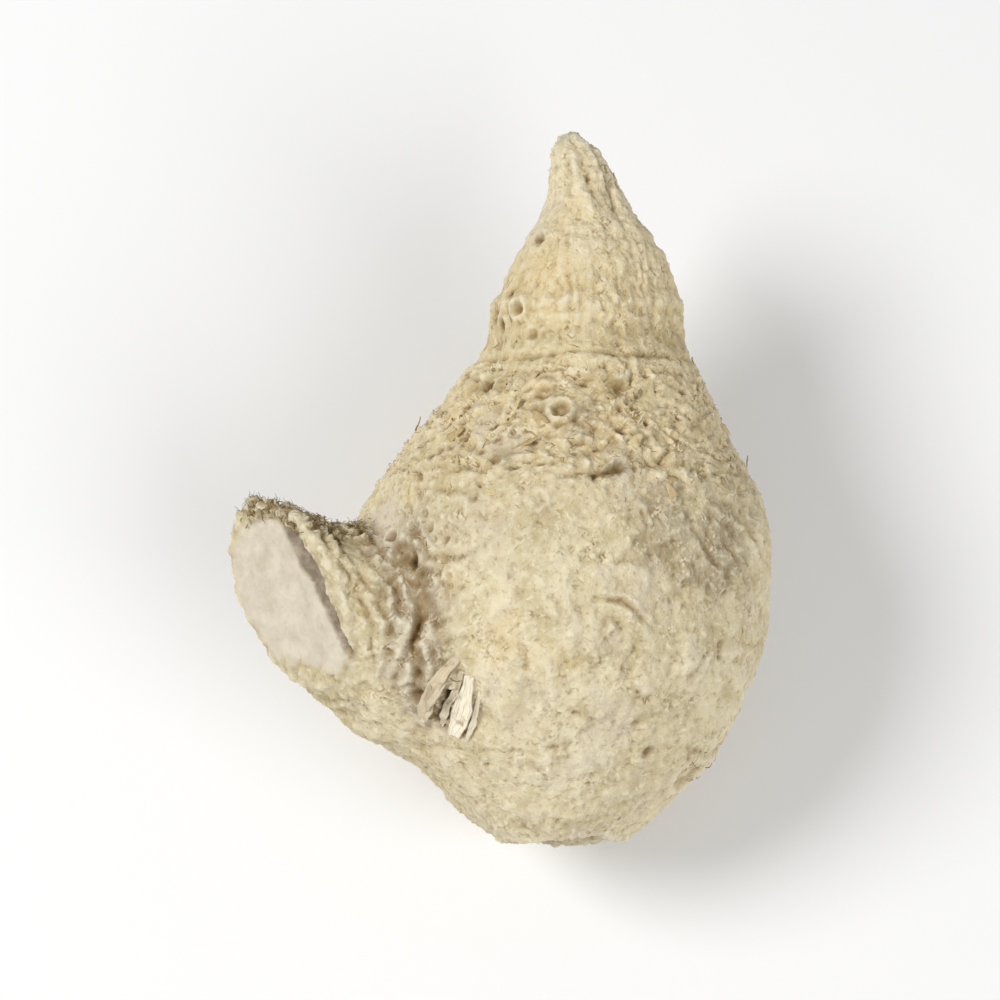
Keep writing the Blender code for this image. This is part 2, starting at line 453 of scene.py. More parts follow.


# %% [markdown]
# ## Colour patches
#
# The skin was scraped clean in places when the rhizome was dressed for drying. Such patches
# are smooth and greyish. Elsewhere the skin is ochre, olive or purplish brown. The olive and
# purple rows near 30 mm and 30 to 50 degrees darken the right shoulder with painted shadow
# of a neighbouring piece, as the shoulder mask does. A row gives distance and angle, the
# patch's radius and, where it isn't full, its strength. The rows are for what shows from
# above. More patches are strewn on the sides and underneath with a fixed seed, so that every
# side is as lively.

# %% Place the patches
GREY_MARKS = [
    (30.0, -60, 2.6),
    (31.6, -57, 1.9),
    (31.2, -33, 1.7, 0.3),
    (31.2, -22, 2.8, 0.4),
    (27.5, 20, 2.0, 0.5),
    (34.5, 27, 2.0, 0.4),
    (42.5, -8, 1.7, 0.5),
    (24.3, -22, 1.8, 0.6),
    (22.6, -36, 1.4, 0.6),
    (36.0, 26, 1.3, 0.5),
    (47.0, 12, 2.2, 0.4),
    (44.6, 21, 2.4, 0.5),
    (38.4, 15, 1.8, 0.4),
    (44.3, -15, 2.0, 0.4),
    (36.4, -33, 1.2, 0.5),
]
OCHRE_MARKS = [
    (12.0, -30, 3.0, 0.7),
    (21.5, -50, 2.5, 0.8),
    (20.3, -20, 1.5, 0.9),
    (23.0, 12, 1.8, 0.9),
    (40.0, -3, 1.9, 0.5),
    (38.5, -17, 2.3, 0.6),
    (28.0, -50, 1.2, 0.6),
    (33.9, -33, 1.0, 0.7),
    (6.5, -20, 1.5, 0.4),
]
OLIVE_MARKS = [
    (19.5, -44, 1.2, 0.9),
    (20.0, 17, 1.3),
    (39.8, 12, 1.5, 0.5),
    (31.1, 35, 2.0, 0.8),
    (31.5, 50, 2.8, 0.8),
    (38.5, -38, 2.1),
    (42.4, -44, 1.0),
    (26.3, 12, 1.0, 0.8),
    (25.5, -23, 1.2, 0.8),
    (37.0, 52, 2.6, 0.5),
    (22.9, 4, 1.9, 0.9),
    (28.6, -28, 2.2, 0.6),
    (39.4, -32, 2.0, 0.7),
    (29.6, 30, 2.4, 0.7),
    (29.5, -1, 1.8, 0.4),
    (30.6, -12, 3.2, 0.65),
    (40.6, -41, 2.0, 0.8),
    (34.4, -50, 1.8, 0.7),
    (37.0, -14, 1.8, 0.3),
]
PURPLE_MARKS = [
    (34.4, -46, 2.1, 0.8),
    (36.9, -43, 1.6),
    (32.3, -46, 1.3, 0.7),
    (26.3, 17, 0.8, 0.9),
    (8.5, -47, 0.6, 0.9),
    (33.8, -54, 1.8, 0.8),
    (22.9, 5, 1.8, 0.4),
    (28.9, 32, 2.4, 0.5),
    (41.8, -40, 1.8, 0.7),
]
HIDDEN_PATCHES = 11

dice = np.random.default_rng(6)
for marks in (GREY_MARKS, OCHRE_MARKS, OLIVE_MARKS, PURPLE_MARKS):
    for k in range(HIDDEN_PATCHES):
        place = (dice.uniform(6, 52), dice.uniform(75, 285))
        marks.append((*place, dice.uniform(1.0, 3.0), dice.uniform(0.4, 0.9)))
grey = all_patches(GREY_MARKS)
ochre = all_patches(OCHRE_MARKS)
olive = all_patches(OLIVE_MARKS)
purple = all_patches(PURPLE_MARKS)
print("colour patches:", len(GREY_MARKS + OCHRE_MARKS + OLIVE_MARKS + PURPLE_MARKS))

# %% [markdown]
# ## Lumps, grain and curls
#
# As the rhizome dried, it shrank unevenly. Gentle lumps break the turned look of the solid.
# On top of them lies a doughy grain, and thin curling ridges that are strongest in the rough
# zones: the collar, the saddle beside the stump and the right shoulder. Scraped patches are
# smoother than the rest.
#
# From here on `height` gathers how far each point will move outwards, in millimetres, and
# `crease` gathers how dark the point is painted: dust, and painted shade in cracks, grooves,
# pits and folds, where 1 is a well-filled crack.

# %% Lumps and grain
COLLAR_START = 17.9
COLLAR_END = 26.4
SADDLE = ((31.6, -55), (33.8, -50), (37.2, -47), (40.0, -43), (42.8, -43))
BROAD_LUMPS = 0.32
SMALL_LUMPS = 0.22
DOUGH = 0.17
HOLE_DEPTH = 0.24


def more_where_rough(plain, extra):
    """Height of a relief in mm: plain everywhere, and extra in the rough zones."""
    return plain + extra * rough_zone


ragged_edge = distance + 1.1 * blot + 0.8 * wander(points, 3.5, 6)
collar = ramp(distance + 0.4 * blot, COLLAR_START, COLLAR_START + 0.9)
collar *= ramp(ragged_edge, COLLAR_END + 2.6, COLLAR_END - 1.6) * on_body
saddle = ramp(away_from_path(SADDLE)[0] + 0.6 * blot, 3.4, 1.2) * (1 - grey)
# The shoulder is also tinted olive and purple further down: painted shadow of a neighbour.
shoulder = np.maximum(patch(31.4, 52, 4.4), patch(30.8, 34, 3.4, 0.8))
neck = patch(30.4, -39, 3.2)
on_cone = ramp(distance, 17.8, 16.8) * on_body
rough_zone = collar + saddle + 0.5 * shoulder + 0.8 * neck + 0.4 * ramp(blot, 0.3, 0.9)
rough_zone = np.clip(rough_zone, 0, 1)

curl = 1 - np.abs(wander(curled, 0.85, 14))
worm = 1 - np.abs(wander(curled, 0.50, 16))
hole = -wander(curled * (1, 1, 0.8), 0.80, 46)
big_curl = 1 - np.abs(wander(curled, 1.20, 17))
pitted = rough_zone * (1 - 0.7 * saddle)
smooth_patch = 1 - 0.8 * grey
quiet_cone = 1 - 0.25 * on_cone
height = BROAD_LUMPS * wander(points, 6.0, 11) + SMALL_LUMPS * wander(points, 2.8, 12)
height += DOUGH * rough(points, 1.25, 13) * (1 - 0.5 * grey)
height += more_where_rough(0.13, 0.07) * (curl**3 - 0.3) * smooth_patch * quiet_cone
height += 0.20 * rough_zone * (big_curl**3 - 0.3) * smooth_patch
height += more_where_rough(0.07, 0.03) * (worm**4 - 0.3) * smooth_patch * quiet_cone
height += more_where_rough(0.04, 0.02) * rough(points, 0.42, 15, layers=2) * smooth_patch
height -= HOLE_DEPTH * pitted * ramp(hole, 0.32, 0.72)
# Painted shade darkens the curl troughs and the holes; the collar's blotches added last are stains.
crease = 0.20 * rough_zone * ramp(curl, 0.45, 0.15)
crease += 0.30 * rough_zone * ramp(big_curl, 0.50, 0.15)
crease += 1.05 * pitted * ramp(hole, 0.42, 0.75) + 0.10 * ramp(worm, 0.45, 0.15)
crease += 0.36 * collar * ramp(wander(points, 1.5, 47), 0.15, 0.55)
print("share of rough skin:", round(float(rough_zone.mean()), 2))

# %% [markdown]
# ## Leaf-scar rings
#
# Each ring is where a leaf sat round the stem. It shows as a swelling with a thin crease
# below it. The crease wanders, and dust has filled it only here and there, so it reads as a
# broken line. Its dark line is dust and painted shade, and the painted shade is strongest
# on one side. A row gives its place, the height of its lip, the depth of its crease, the
# angle of its most shaded side and how much it wanders.

# %% Rings
RINGS = (
    (8.6, 0.24, 0.05, 35, 0.8),
    (13.9, 0.24, 0.07, 20, 1.0),
    (17.5, 0.17, 0.22, 35, 0.6),
    (26.0, 0.15, 0.17, 20, 2.2),
    (38.6, 0.05, 0.04, 150, 1.0),
    (46.5, 0.10, 0.12, 170, 1.5),
)

wobble = 0.30 * wander(round_body, 5.0, 21) + 0.16 * wander(round_body, 1.2, 22)
ring_dust = np.zeros(count)
for place, lip, groove, dark_side, wander_share in RINGS:
    off = distance + wobble * wander_share - place
    dash = ramp(wander(round_body * (1, 1, 0.25), 1.1, 23 + int(place)), -0.30, 0.35)
    shade = 0.35 + 0.65 * ramp(np.cos(angle - math.radians(dark_side)), -0.4, 0.8)
    height += lip * hump(off + 0.75, 0.65) * on_body
    height -= groove * hump(off, 0.19) * (0.3 + 0.7 * dash) * on_body
    height += 0.5 * lip * hump(off - 0.5, 0.34) * (1 + 0.5 * ragged) * on_body
    # Dust and painted shade: the crease is darkened, most on its shaded side.
    crease += 2.6 * groove * hump(off, 0.22) * dash * shade * on_body
    ring_dust = np.maximum(ring_dust, groove / 0.3 * hump(off, 0.7) * on_body)

# %% [markdown]
# ## The collar
#
# Between the third and fourth ring the torn ends of leaf sheaths overlap like roof tiles.
# The surface steps up at each torn edge and falls slowly to the next. Loose scales are laid
# on it later.

# %% Torn sheath edges
TILE_STEP = 1.7
TILE_HEIGHT = 0.20

drift = 1.7 * wander(points, 2.3, 31) + 0.7 * wander(points, 0.9, 32)
phase = (distance + drift) / TILE_STEP
tile = phase - np.floor(phase)
tile_strength = collar * (0.7 + 0.6 * wander(points, 1.6, 33))
height += TILE_HEIGHT * (ramp(tile, 0.0, 0.22) * (1 - tile) - 0.4) * tile_strength
# Painted shadow: a dark line at the foot of each torn edge.
crease += 0.22 * hump(np.minimum(tile, 1 - tile), 0.09) * tile_strength

# %% [markdown]
# ## Wrinkles
#
# The skin is tied down by fibres that run from base to tip, so it wrinkles lengthwise. Soft
# corrugations come first, then a few sharp folds: `1 - abs(field)` has a sharp crest where
# the field crosses zero, and taken away from the height it reads as a crack. The wrinkles
# come in patches, and they are strongest on the tip and on the dome above the collar.

# %% Lengthwise wrinkles
CORRUGATION_HEIGHT = 0.15
CRACK_DEPTH = 0.12
CRAZE_DEPTH = 0.09

corrugation = wander(lengthwise, 0.52, 41)
crack = 1 - np.abs(wander(lengthwise * (1, 1, 1.6), 1.0, 42))
craze = 1 - np.abs(wander(curled, 0.62, 45))
patchy = ramp(wander(points, 4.0, 43), -0.30, 0.40)
other_patchy = ramp(wander(points, 3.2, 44), -0.05, 0.45)
dome = ramp(distance, 8.8, 10.2) * ramp(distance, 17.4, 16.6)
tip = ramp(distance, 8.4, 6.8)
wrinkled = on_body * (0.35 + 0.65 * np.maximum(patchy, dome)) * (1 - 0.6 * collar)
wrinkled *= 1 - 0.85 * grey
corrugated = wrinkled * (0.8 + 0.2 * dome + 0.6 * shoulder + 0.5 * tip)
height += CORRUGATION_HEIGHT * corrugation * corrugated
height -= CRACK_DEPTH * crack**8 * wrinkled * patchy
# Painted shade darkens the cracks, here and in the crazing below.
crease += 0.26 * crack**12 * wrinkled * patchy
crazed = np.maximum(other_patchy, 0.8 * tip) * on_body * (1 - grey)
height -= CRAZE_DEPTH * craze**9 * crazed
crease += (0.24 + 0.20 * tip) * craze**14 * crazed

# %% [markdown]
# ## Marks of its life
#
# Roots left round scars with a raised rim, and buds and insects left pits. The first list
# of scars shows from above, the second lies on the sides and underneath, where roots grew
# most. A scar's row gives distance, angle, radius and strength, and a pit's row distance,
# angle, radius, depth and darkness. Many tiny pits are strewn with a fixed seed.

# %% Pits and root scars
TOP_SCARS = (
    (20.4, -15, 0.80, 1.0),
    (21.8, -6, 0.90, 1.5),
    (28.5, -8, 0.75, 0.4),
    (28.1, -46, 0.45, 0.8),
    (29.3, -43, 0.50, 0.8),
    (30.5, -40, 0.50, 0.8),
    (31.3, -38, 0.40, 0.7),
    (32.8, -49, 1.30, 0.8),
    (34.6, -42, 0.80, 0.7),
    (31.9, -54, 0.55, 0.8),
    (13.7, -45, 0.75, 1.1),
    (15.9, -32, 0.60, 0.5),
)
HIDDEN_SCARS = (
    (44.0, 128, 1.9, 1.2),
    (42.5, 222, 1.8, 1.2),
    (27.5, 196, 1.7, 1.2),
    (33.0, 96, 1.6, 1.1),
    (39.0, 108, 1.2, 1.0),
    (30.5, 142, 1.5, 1.1),
    (36.5, 236, 1.4, 1.1),
    (22.5, 120, 1.0, 1.0),
    (21.5, 250, 1.1, 1.0),
    (48.5, 66, 1.5, 1.1),
    (49.0, 180, 1.3, 1.1),
    (14.0, 165, 0.8, 0.9),
)
TOP_PITS = (
    (2.9, -51, 0.34, 0.12, 0.5),
    (8.5, -47, 0.40, 0.18, 0.9),
    (12.6, -57, 0.42, 0.28, 1.6),
    (13.7, -45, 0.30, 0.16, 1.2),
    (14.8, -62, 0.45, 0.28, 1.6),
    (14.1, -74, 0.50, 0.30, 1.6),
    (11.1, -75, 0.42, 0.24, 1.5),
    (15.9, -32, 0.30, 0.14, 0.7),
    (19.6, -46, 0.45, 0.26, 1.1),
    (20.0, 17, 0.60, 0.24, 1.0),
    (21.1, -59, 0.40, 0.28, 1.1),
    (21.8, -63, 0.45, 0.28, 1.1),
    (22.5, -45, 0.34, 0.22, 1.0),
    (22.6, 1, 0.36, 0.22, 1.0),
    (24.9, -30, 0.36, 0.22, 0.9),
    (25.6, -24, 0.45, 0.26, 1.0),
    (24.7, -47, 0.36, 0.22, 0.9),
    (24.5, -43, 0.30, 0.20, 0.9),
    (26.6, 9, 0.42, 0.26, 1.0),
    (26.2, 17, 0.42, 0.18, 0.8),
    (28.4, -28, 0.32, 0.16, 0.7),
    (31.9, -54, 0.36, 0.22, 1.0),
    (34.4, -49, 0.50, 0.18, 0.6),
    (37.2, -43, 0.50, 0.20, 0.6),
    (38.3, -44, 0.35, 0.18, 0.6),
    (42.4, -45, 0.50, 0.30, 1.0),
    (42.6, -36, 0.46, 0.80, 2.2),
    (46.8, 37, 0.40, 0.30, 1.1),
)
STREWN_PITS = 200
SCAR_RIM = 0.24
SCAR_FLOOR = 0.30


def press_pit(place, size, depth, shade):
    """A small hollow with a soft edge and a floor darkened with painted shade."""
    off = away_from(place) * (1 + 0.35 * ragged)
    height[:] += 0.25 * depth * hump(off - 1.6 * size, 0.5 * size) - depth * hump(off, size)
    crease[:] += shade * hump(off, size * 0.85)


def press_root_scar(place, size, strength):
    """A raised rim, a sunken floor and a nub where the root's core was."""
    off = away_from(place) * (1 + 0.20 * ragged)
    worn_away = 1 - 0.5 * hump(off, 1.5 * size)
    height[:] *= worn_away
    crease[:] *= worn_away
    rise = SCAR_RIM * hump(off - size, 0.30 * size) - SCAR_FLOOR * hump(off, 0.62 * size)
    height[:] += strength * (rise + SCAR_RIM * hump(off, 0.24 * size))
    # Painted shade at the inner and outer foot of the rim.
    crease[:] += 0.55 * strength * hump(off - 0.55 * size, 0.22 * size)
    crease[:] += 0.25 * strength * hump(off - 1.45 * size, 0.20 * size)


for mark in TOP_SCARS + HIDDEN_SCARS:
    press_root_scar(spot_on(*mark[:2]), *mark[2:])
for mark in TOP_PITS:
    press_pit(spot_on(*mark[:2]), *mark[2:])
dice = np.random.default_rng(61)
for centre in dice.choice(np.flatnonzero(on_body > 0.9), STREWN_PITS, replace=False):
    size = dice.uniform(0.10, 0.28)
    press_pit(points[centre], size, 0.5 * size, dice.uniform(0.1, 0.7))
print("marks placed:", len(TOP_SCARS + HIDDEN_SCARS + TOP_PITS) + STREWN_PITS)

# %% [markdown]
# Folds and cracks are paths. Folds run down from the growing point, a curved crack like
# an eyebrow lies on the right of the belly, the right shoulder is gathered, and creases ray
# out of the saddle where the stump begins. A row gives the path, as distances and angles,
# and then its depth, width and darkness.

# %% Folds and cracks
FOLDS = (
    (((1.0, 2), (2.9, 8), (5.0, 14), (6.6, 16)), 0.50, 0.36, 0.80),
    (((1.4, 46), (3.4, 42), (5.6, 38), (7.6, 36)), 0.40, 0.30, 0.75),
    (((1.6, 24), (3.4, 26), (5.4, 25), (7.6, 28)), 0.30, 0.24, 0.60),
    (((2.2, -24), (3.6, -20), (5.0, -22)), 0.18, 0.20, 0.45),
    (((5.6, -44), (5.5, -32), (6.0, -22)), 0.12, 0.20, 0.25),
    (((35.5, 11), (35.6, 15), (35.9, 20), (36.7, 24), (37.9, 29)), 0.30, 0.21, 0.95),
    (((26.8, 7), (26.6, 12), (26.3, 16), (26.1, 20)), 0.26, 0.34, 1.00),
    (((27.0, -3), (26.8, 0), (26.5, 4)), 0.16, 0.26, 0.60),
    (((30.6, 43), (31.8, 46), (32.6, 49), (34.4, 57)), 0.20, 0.26, 0.55),
    (((31.0, 52), (32.4, 58), (34.2, 64)), 0.24, 0.24, 0.60),
    (((29.0, 58), (31.2, 66), (32.6, 72)), 0.18, 0.22, 0.45),
    (((33.2, 42), (34.2, 45), (35.4, 52)), 0.12, 0.22, 0.25),
    (((27.4, -50), (27.7, -40), (27.9, -29)), 0.18, 0.20, 0.55),
    (((23.1, -32), (22.6, -26), (22.1, -20)), 0.16, 0.20, 0.55),
    (((20.6, -26), (20.9, -20), (20.6, -14)), 0.16, 0.18, 0.60),
    (((19.3, -13), (20.2, -11), (21.0, -9)), 0.18, 0.18, 0.55),
    (((38.8, -13), (39.4, -10), (41.3, -11), (43.3, -6)), 0.14, 0.18, 0.35),
    (((36.0, 1), (38.0, 0), (39.6, 1)), 0.08, 0.18, 0.18),
    (((32.8, -43), (32.4, -36), (32.6, -30), (31.9, -22)), 0.18, 0.24, 0.40),
    (((35.0, -44), (34.4, -36), (34.8, -27)), 0.16, 0.24, 0.30),
    (((36.8, -42), (37.4, -36), (37.0, -30)), 0.12, 0.22, 0.25),
    (((32.2, -53), (33.0, -51), (34.2, -49), (35.6, -44), (37.8, -42)), 0.28, 0.42, 0.45),
    (((37.2, -45), (39.0, -43), (40.4, -42), (42.6, -44)), 0.22, 0.40, 0.40),
    (((34.0, -54), (36.0, -50), (38.6, -49)), 0.22, 0.26, 0.45),
    (((36.0, -53), (38.4, -51), (41.0, -51)), 0.22, 0.28, 0.30),
    (((30.4, -52), (32.0, -51), (33.4, -54)), 0.22, 0.24, 0.60),
    (((44.0, 4), (44.6, 12), (44.2, 20)), 0.10, 0.22, 0.22),
    (((33.2, 12), (32.8, 22), (33.6, 30)), 0.08, 0.20, 0.20),
)

for path, depth, width, shade in FOLDS:
    gap, share = away_from_path(path)
    gap = gap * (1 + 0.45 * ragged)
    fade = np.sin(np.pi * (0.08 + 0.84 * share)) ** 0.7 * (0.75 + 0.45 * ragged)
    lip = 0.50 * hump(gap - 2.3 * width, 1.1 * width)
    height += depth * fade * (lip - hump(gap, width))
    # Painted shade: the fold's trough is darkened along the path.
    crease += shade * fade * hump(gap, 0.75 * width)

# %% [markdown]
# In the saddle the skin is pushed together into folds that run alongside the break. They
# come from a random field that is squeezed in that direction.

# %% Folds of the saddle
FOLD_WAY = np.array((0.42, -0.86, -0.28))
FOLD_SQUEEZE = 0.68
FOLD_HEIGHT = 0.30

squeezed = curled - FOLD_SQUEEZE * (curled @ FOLD_WAY)[:, None] * FOLD_WAY
saddle_fold = rough(squeezed, 0.80, 73, layers=2)
height += FOLD_HEIGHT * saddle * saddle_fold
# Painted shade in the troughs of the saddle's folds.
crease += 0.55 * saddle * ramp(saddle_fold, -0.10, -0.70)

# %% [markdown]
# ## The broken side stump
#
# The stump has close-set ridges of its own that run along the edge of the break, and a
# crumbly band of old root felt on its upper side. Its end is a clean slanting break through
# dry starchy flesh: faintly shell-shaped, bounded on the right by a straight grey gap where
# the rind came away, and with a ragged rim of rind all round.

# %% Stump rings and felt
STUMP_RING_STEP = 1.0
STUMP_RING_DEPTH = 0.24
FELT_THICKNESS = 0.60

stump_phase = (above_break + 0.6 * wander(points, 2.6, 71)) / STUMP_RING_STEP
stump_ring = np.abs(stump_phase - np.round(stump_phase)) * 2
height -= STUMP_RING_DEPTH * hump(stump_ring, 0.36) * on_stump * (0.7 + 0.6 * blot)
height += 0.12 * rough(points, 0.8, 72) * on_stump
# Painted shade in the grooves between the stump's ridges.
crease += 0.50 * hump(stump_ring, 0.26) * on_stump * ramp(blot, -0.8, 0.3)
on_top = outward @ TIPWARD + 0.12 * blot
felt = ramp(on_top, 0.68, 0.82) * ramp(along, 17.5, 19.0) * ramp(reach - stump_radius, 1.2, 0.6)
felt = felt * (1 - on_break) + on_break * ramp(on_top, 0.70, 0.86) * ramp(reach, 4.3, 4.9)
clump = 1 - np.abs(wander(curled, 0.8, 75))
height += FELT_THICKNESS * (clump**2 - 0.3) * felt

# %% [markdown]
# The clean flesh is bounded by straight lines across the break. Each line is given by the x
# and y of two places on the break's plane, and `beyond` measures how far outside it a point
# lies, and how far along it. The gap beside the rind is a wedge that narrows downwards.

# %% The break
GAP_TOP = (-14.9, -6.7)
GAP_BOTTOM = (-11.2, -14.2)
LOWER_RIGHT = (-11.6, -15.2)
LOWER_LEFT = (-19.4, -11.6)
GAP_WIDEST = 1.50
GAP_NARROWEST = 0.75
GAP_DEPTH = 0.50
SHELL_HEIGHT = 0.26
RAGGED_RIND = 0.20


def on_break_plane(x, y):
    """The point of the break's plane over a place on the floor, in mm."""
    flat_part = BREAK_NORMAL[0] * (x - BREAK_CENTRE[0]) + BREAK_NORMAL[1] * (y - BREAK_CENTRE[1])
    return np.array((x, y, BREAK_CENTRE[2] - flat_part / BREAK_NORMAL[2]))


def beyond(first, second):
    """Distance in mm outside a line, seen from the break's centre, and share along it."""
    start = on_break_plane(*first)
    run = on_break_plane(*second) - start
    across = np.cross(BREAK_NORMAL, run)
    across /= np.linalg.norm(across) * np.sign((start - BREAK_CENTRE) @ across)
    return (points - start) @ across, np.clip((points - start) @ run / (run @ run), 0.0, 1.0)


past_gap, gap_share = beyond(GAP_TOP, GAP_BOTTOM)
past_gap += 0.12 * ragged + 0.15 * blot
past_low = beyond(LOWER_RIGHT, LOWER_LEFT)[0] + 0.50 * ragged + 0.4 * blot
past_rind = past_gap - GAP_WIDEST + (GAP_WIDEST - GAP_NARROWEST) * gap_share
face_share = reach / stump_radius + 0.03 * ragged
rind_gap = ramp(past_gap, -0.05, 0.25) * ramp(past_rind, 0.15, -0.10)
rind_gap *= ramp(past_low, 0.6, -0.2) * on_break
rind_foot = hump(past_rind + 0.12, 0.20) * ramp(past_low, 0.6, -0.2) * on_break
rind = np.maximum(ramp(past_rind, -0.05, 0.25), ramp(past_low, -0.2, 0.4))
rind = np.maximum(rind, ramp(face_share, 0.90, 0.99)) * on_break
shell = wander(points @ np.diag((0.6, 1.0, 0.6)), 2.8, 76)
break_height = SHELL_HEIGHT * shell + 0.10 * rough(points, 0.9, 77) + 0.05 * rough(points, 0.35, 78)
break_height += RAGGED_RIND * rind * rough(points, 0.9, 79)
break_height -= GAP_DEPTH * rind_gap * ramp(past_gap, -0.6, 1.4)
bare_break = on_break * (1 - felt)
height = height * (1 - bare_break) + break_height * bare_break
# Dark rind blotches; painted shade at the rind's foot by the gap and between felt clumps.
crease = crease * (1 - on_break) + 0.35 * rind * ramp(ragged, 0.1, -0.6)
crease += rind_foot * (0.7 + 0.5 * blot)
crease += 0.8 * felt * ramp(clump, 0.65, 0.30)
flesh = on_break * (1 - rind) * (1 - felt)
print("share of points on clean flesh:", round(float(flesh.mean()), 3))

# %% [markdown]
# ## The base and the bud
#
# At the lower end the rhizome was joined to last year's piece. It came off with a blunt scar:
# a corky rim round a coarse floor. At the tip sits what is left of the bud, a tiny dark cap.

# %% Base scar and bud
BASE_SCAR = 4.6
BASE_RIM = 0.30
BASE_SUNK = 0.45
BUD = 0.95

base_off = away_from(spot_on(LENGTH, 0)) * (1 + 0.10 * ragged)
on_base = ramp(base_off, BASE_SCAR + 0.3, BASE_SCAR - 0.3)
height += BASE_RIM * hump(base_off - BASE_SCAR, 0.45) - BASE_SUNK * on_base
height += 0.20 * rough(points, 0.6, 81) * on_base
# Painted shade at the inner foot of the rim, and a darker floor.
crease += 0.5 * hump(base_off - BASE_SCAR + 0.7, 0.25) + 0.25 * on_base
bud = ramp(away_from(spot_on(0.3, -20)) * (1 + 0.3 * ragged), BUD + 0.25, BUD - 0.25)
height += 0.14 * bud * (1 + ragged)

# %% [markdown]
# ## Move the skin
#
# Every point now moves along its normal by the height that has been gathered for it. The
# solid rests on a small flat, so nothing may go below the surface it lies on.

# %% Displace
FLOOR_GAP = 0.01

points = points + normals * height[:, None]
points[:, 2] = np.maximum(points[:, 2], FLOOR_GAP)
move_points(skin.data, points)
print("relief in mm:", round(float(height.min()), 2), "to", round(float(height.max()), 2))

# %% [markdown]
# ## Hollows and high spots
#
# Hollows are painted darker, as dust and painted shade, and high spots paler, as wear and
# painted highlight. A point lies in a hollow if its neighbours' mean lies outside it, along
# the normal. A few rounds of the same mean widen the effect.

# %% Find the hollows
FINE_ROUNDS = 2
WIDE_ROUNDS = 14
STEEPEST = 95


def from_half(values):
    """Scaled so that flat skin is 0.5 and all but the deepest hollows are below 1."""
    return 0.5 + 0.5 * values / np.percentile(np.abs(values), STEEPEST)


normals = read(skin.data.vertices, "normal", 3).astype(float)
hollow = np.sum((neighbour_mean(points) - points) * normals, axis=1)
for turn in range(FINE_ROUNDS):
    hollow = neighbour_mean(hollow)
wide_hollow = hollow.copy()
for turn in range(WIDE_ROUNDS):
    wide_hollow = neighbour_mean(wide_hollow)
hollow = from_half(hollow)
wide_hollow = from_half(wide_hollow)

# %% [markdown]
# ## Remember what is where
#
# The material can't know where the collar or the break is, so that knowledge is stored on
# the mesh as one number per point. The last three and `felt` also say where loose things
# will lie.

# %% Store the masks
above_floor = ramp(points[:, 2], 1.5, 3.0)
yellow = ramp(distance, 31.0, 22.0) * ramp(distance, -3.0, 11.0) * on_body
band = 0.5 * hump(distance + wobble - 15.9, 1.2) * on_body
pale_tip = ramp(distance, 12.5, 4.5) * on_body
# The shoulder's share is painted shadow of a neighbouring piece; the saddle is darker purple.
purple_and_shadow = np.maximum.reduce([purple, 0.75 * saddle, 0.50 * shoulder])
scales_here = collar * ramp(tile, 0.45, 0.05) * (1 - 0.7 * grey)
hairs_here = np.maximum(0.5 * ring_dust, 0.3 * collar)
hairs_here = np.maximum(hairs_here, 0.6 * saddle * on_body)
for mark in HIDDEN_SCARS:
    hairs_here += 0.6 * hump(away_from(spot_on(*mark[:2])) - mark[2], 0.5)
crumbs_here = (0.1 + rough_zone) * ramp(wide_hollow, 0.5, 0.9) * on_body * above_floor

masks = {
    "crease": crease,
    "hollow": hollow,
    "wide_hollow": wide_hollow,
    "flesh": flesh,
    "rind_gap": rind_gap,
    "felt": felt,
    "yellow": yellow,
    "pale_tip": pale_tip,
    "purple": purple_and_shadow * ((1 - on_break) * (1 - 0.7 * grey)),
    "grey": np.maximum(grey, 0.4 * on_base),
    "ochre": ochre,
    # Through shoulder, olive also carries the painted shadow on the right shoulder.
    "olive": np.maximum.reduce([olive, 0.95 * on_stump, 0.6 * neck, shoulder, band]),
    "bud": bud,
    "scales_here": scales_here * above_floor,
    "hairs_here": hairs_here * above_floor,
    "crumbs_here": crumbs_here + 1.5 * felt,
}
for name, values in masks.items():
    layer = skin.data.attributes.new(name, "FLOAT", "POINT")
    layer.data.foreach_set("value", np.clip(values, 0, 2).astype(np.float32))
layer = skin.data.attributes.new("lengthwise", "FLOAT_VECTOR", "POINT")
layer.data.foreach_set("vector", (lengthwise * MM).astype(np.float32).ravel())
print("masks:", ", ".join(masks))

# %% [markdown]
# ## Thin the net
#
# The net now carries its detail, and flat places have more points than they need. Decimate
# removes them first where the surface is plain.

# %% Thin out
MOST_TRIANGLES = 192000

skin.data.calc_loop_triangles()
thin = skin.modifiers.new("thin", "DECIMATE")
thin.ratio = min(1.0, MOST_TRIANGLES / len(skin.data.loop_triangles))
apply_modifiers(skin)
skin.data.shade_smooth()

# %% [markdown]
# ## Words for node trees
#
# A material is a sentence made of a few words said again and again: mix two colours, span a
# value onto a new range, speckle. These helpers are those words.

# %% Material helpers


def colour(red, green, blue):
    """A colour given as it looks on screen, turned into the light values that nodes use."""
    return tuple((part / 255) ** 2.2 for part in (red, green, blue)) + (1.0,)


def mask(tree, name, output="Fac"):
    return add_node(tree, "ShaderNodeAttribute", {}, output, attribute_name=name)


def maths(tree, operation, first, second, clamp=False):
    node = add_node(tree, "ShaderNodeMath", {}, operation=operation, use_clamp=clamp)
    plug(tree, first, node.inputs[0])
    plug(tree, second, node.inputs[1])
    return node.outputs[0]


def times(tree, first, second, clamp=False):
    return maths(tree, "MULTIPLY", first, second, clamp)


def plus(tree, first, second):
    return maths(tree, "ADD", first, second)


def span(tree, value, low, high, to_low=0.0, to_high=1.0):
    """The value, read from the range low to high and spread over a new range."""
    inputs = {"Value": value, "From Min": low, "From Max": high}
    inputs.update({"To Min": to_low, "To Max": to_high})
    return add_node(tree, "ShaderNodeMapRange", inputs, "Result")


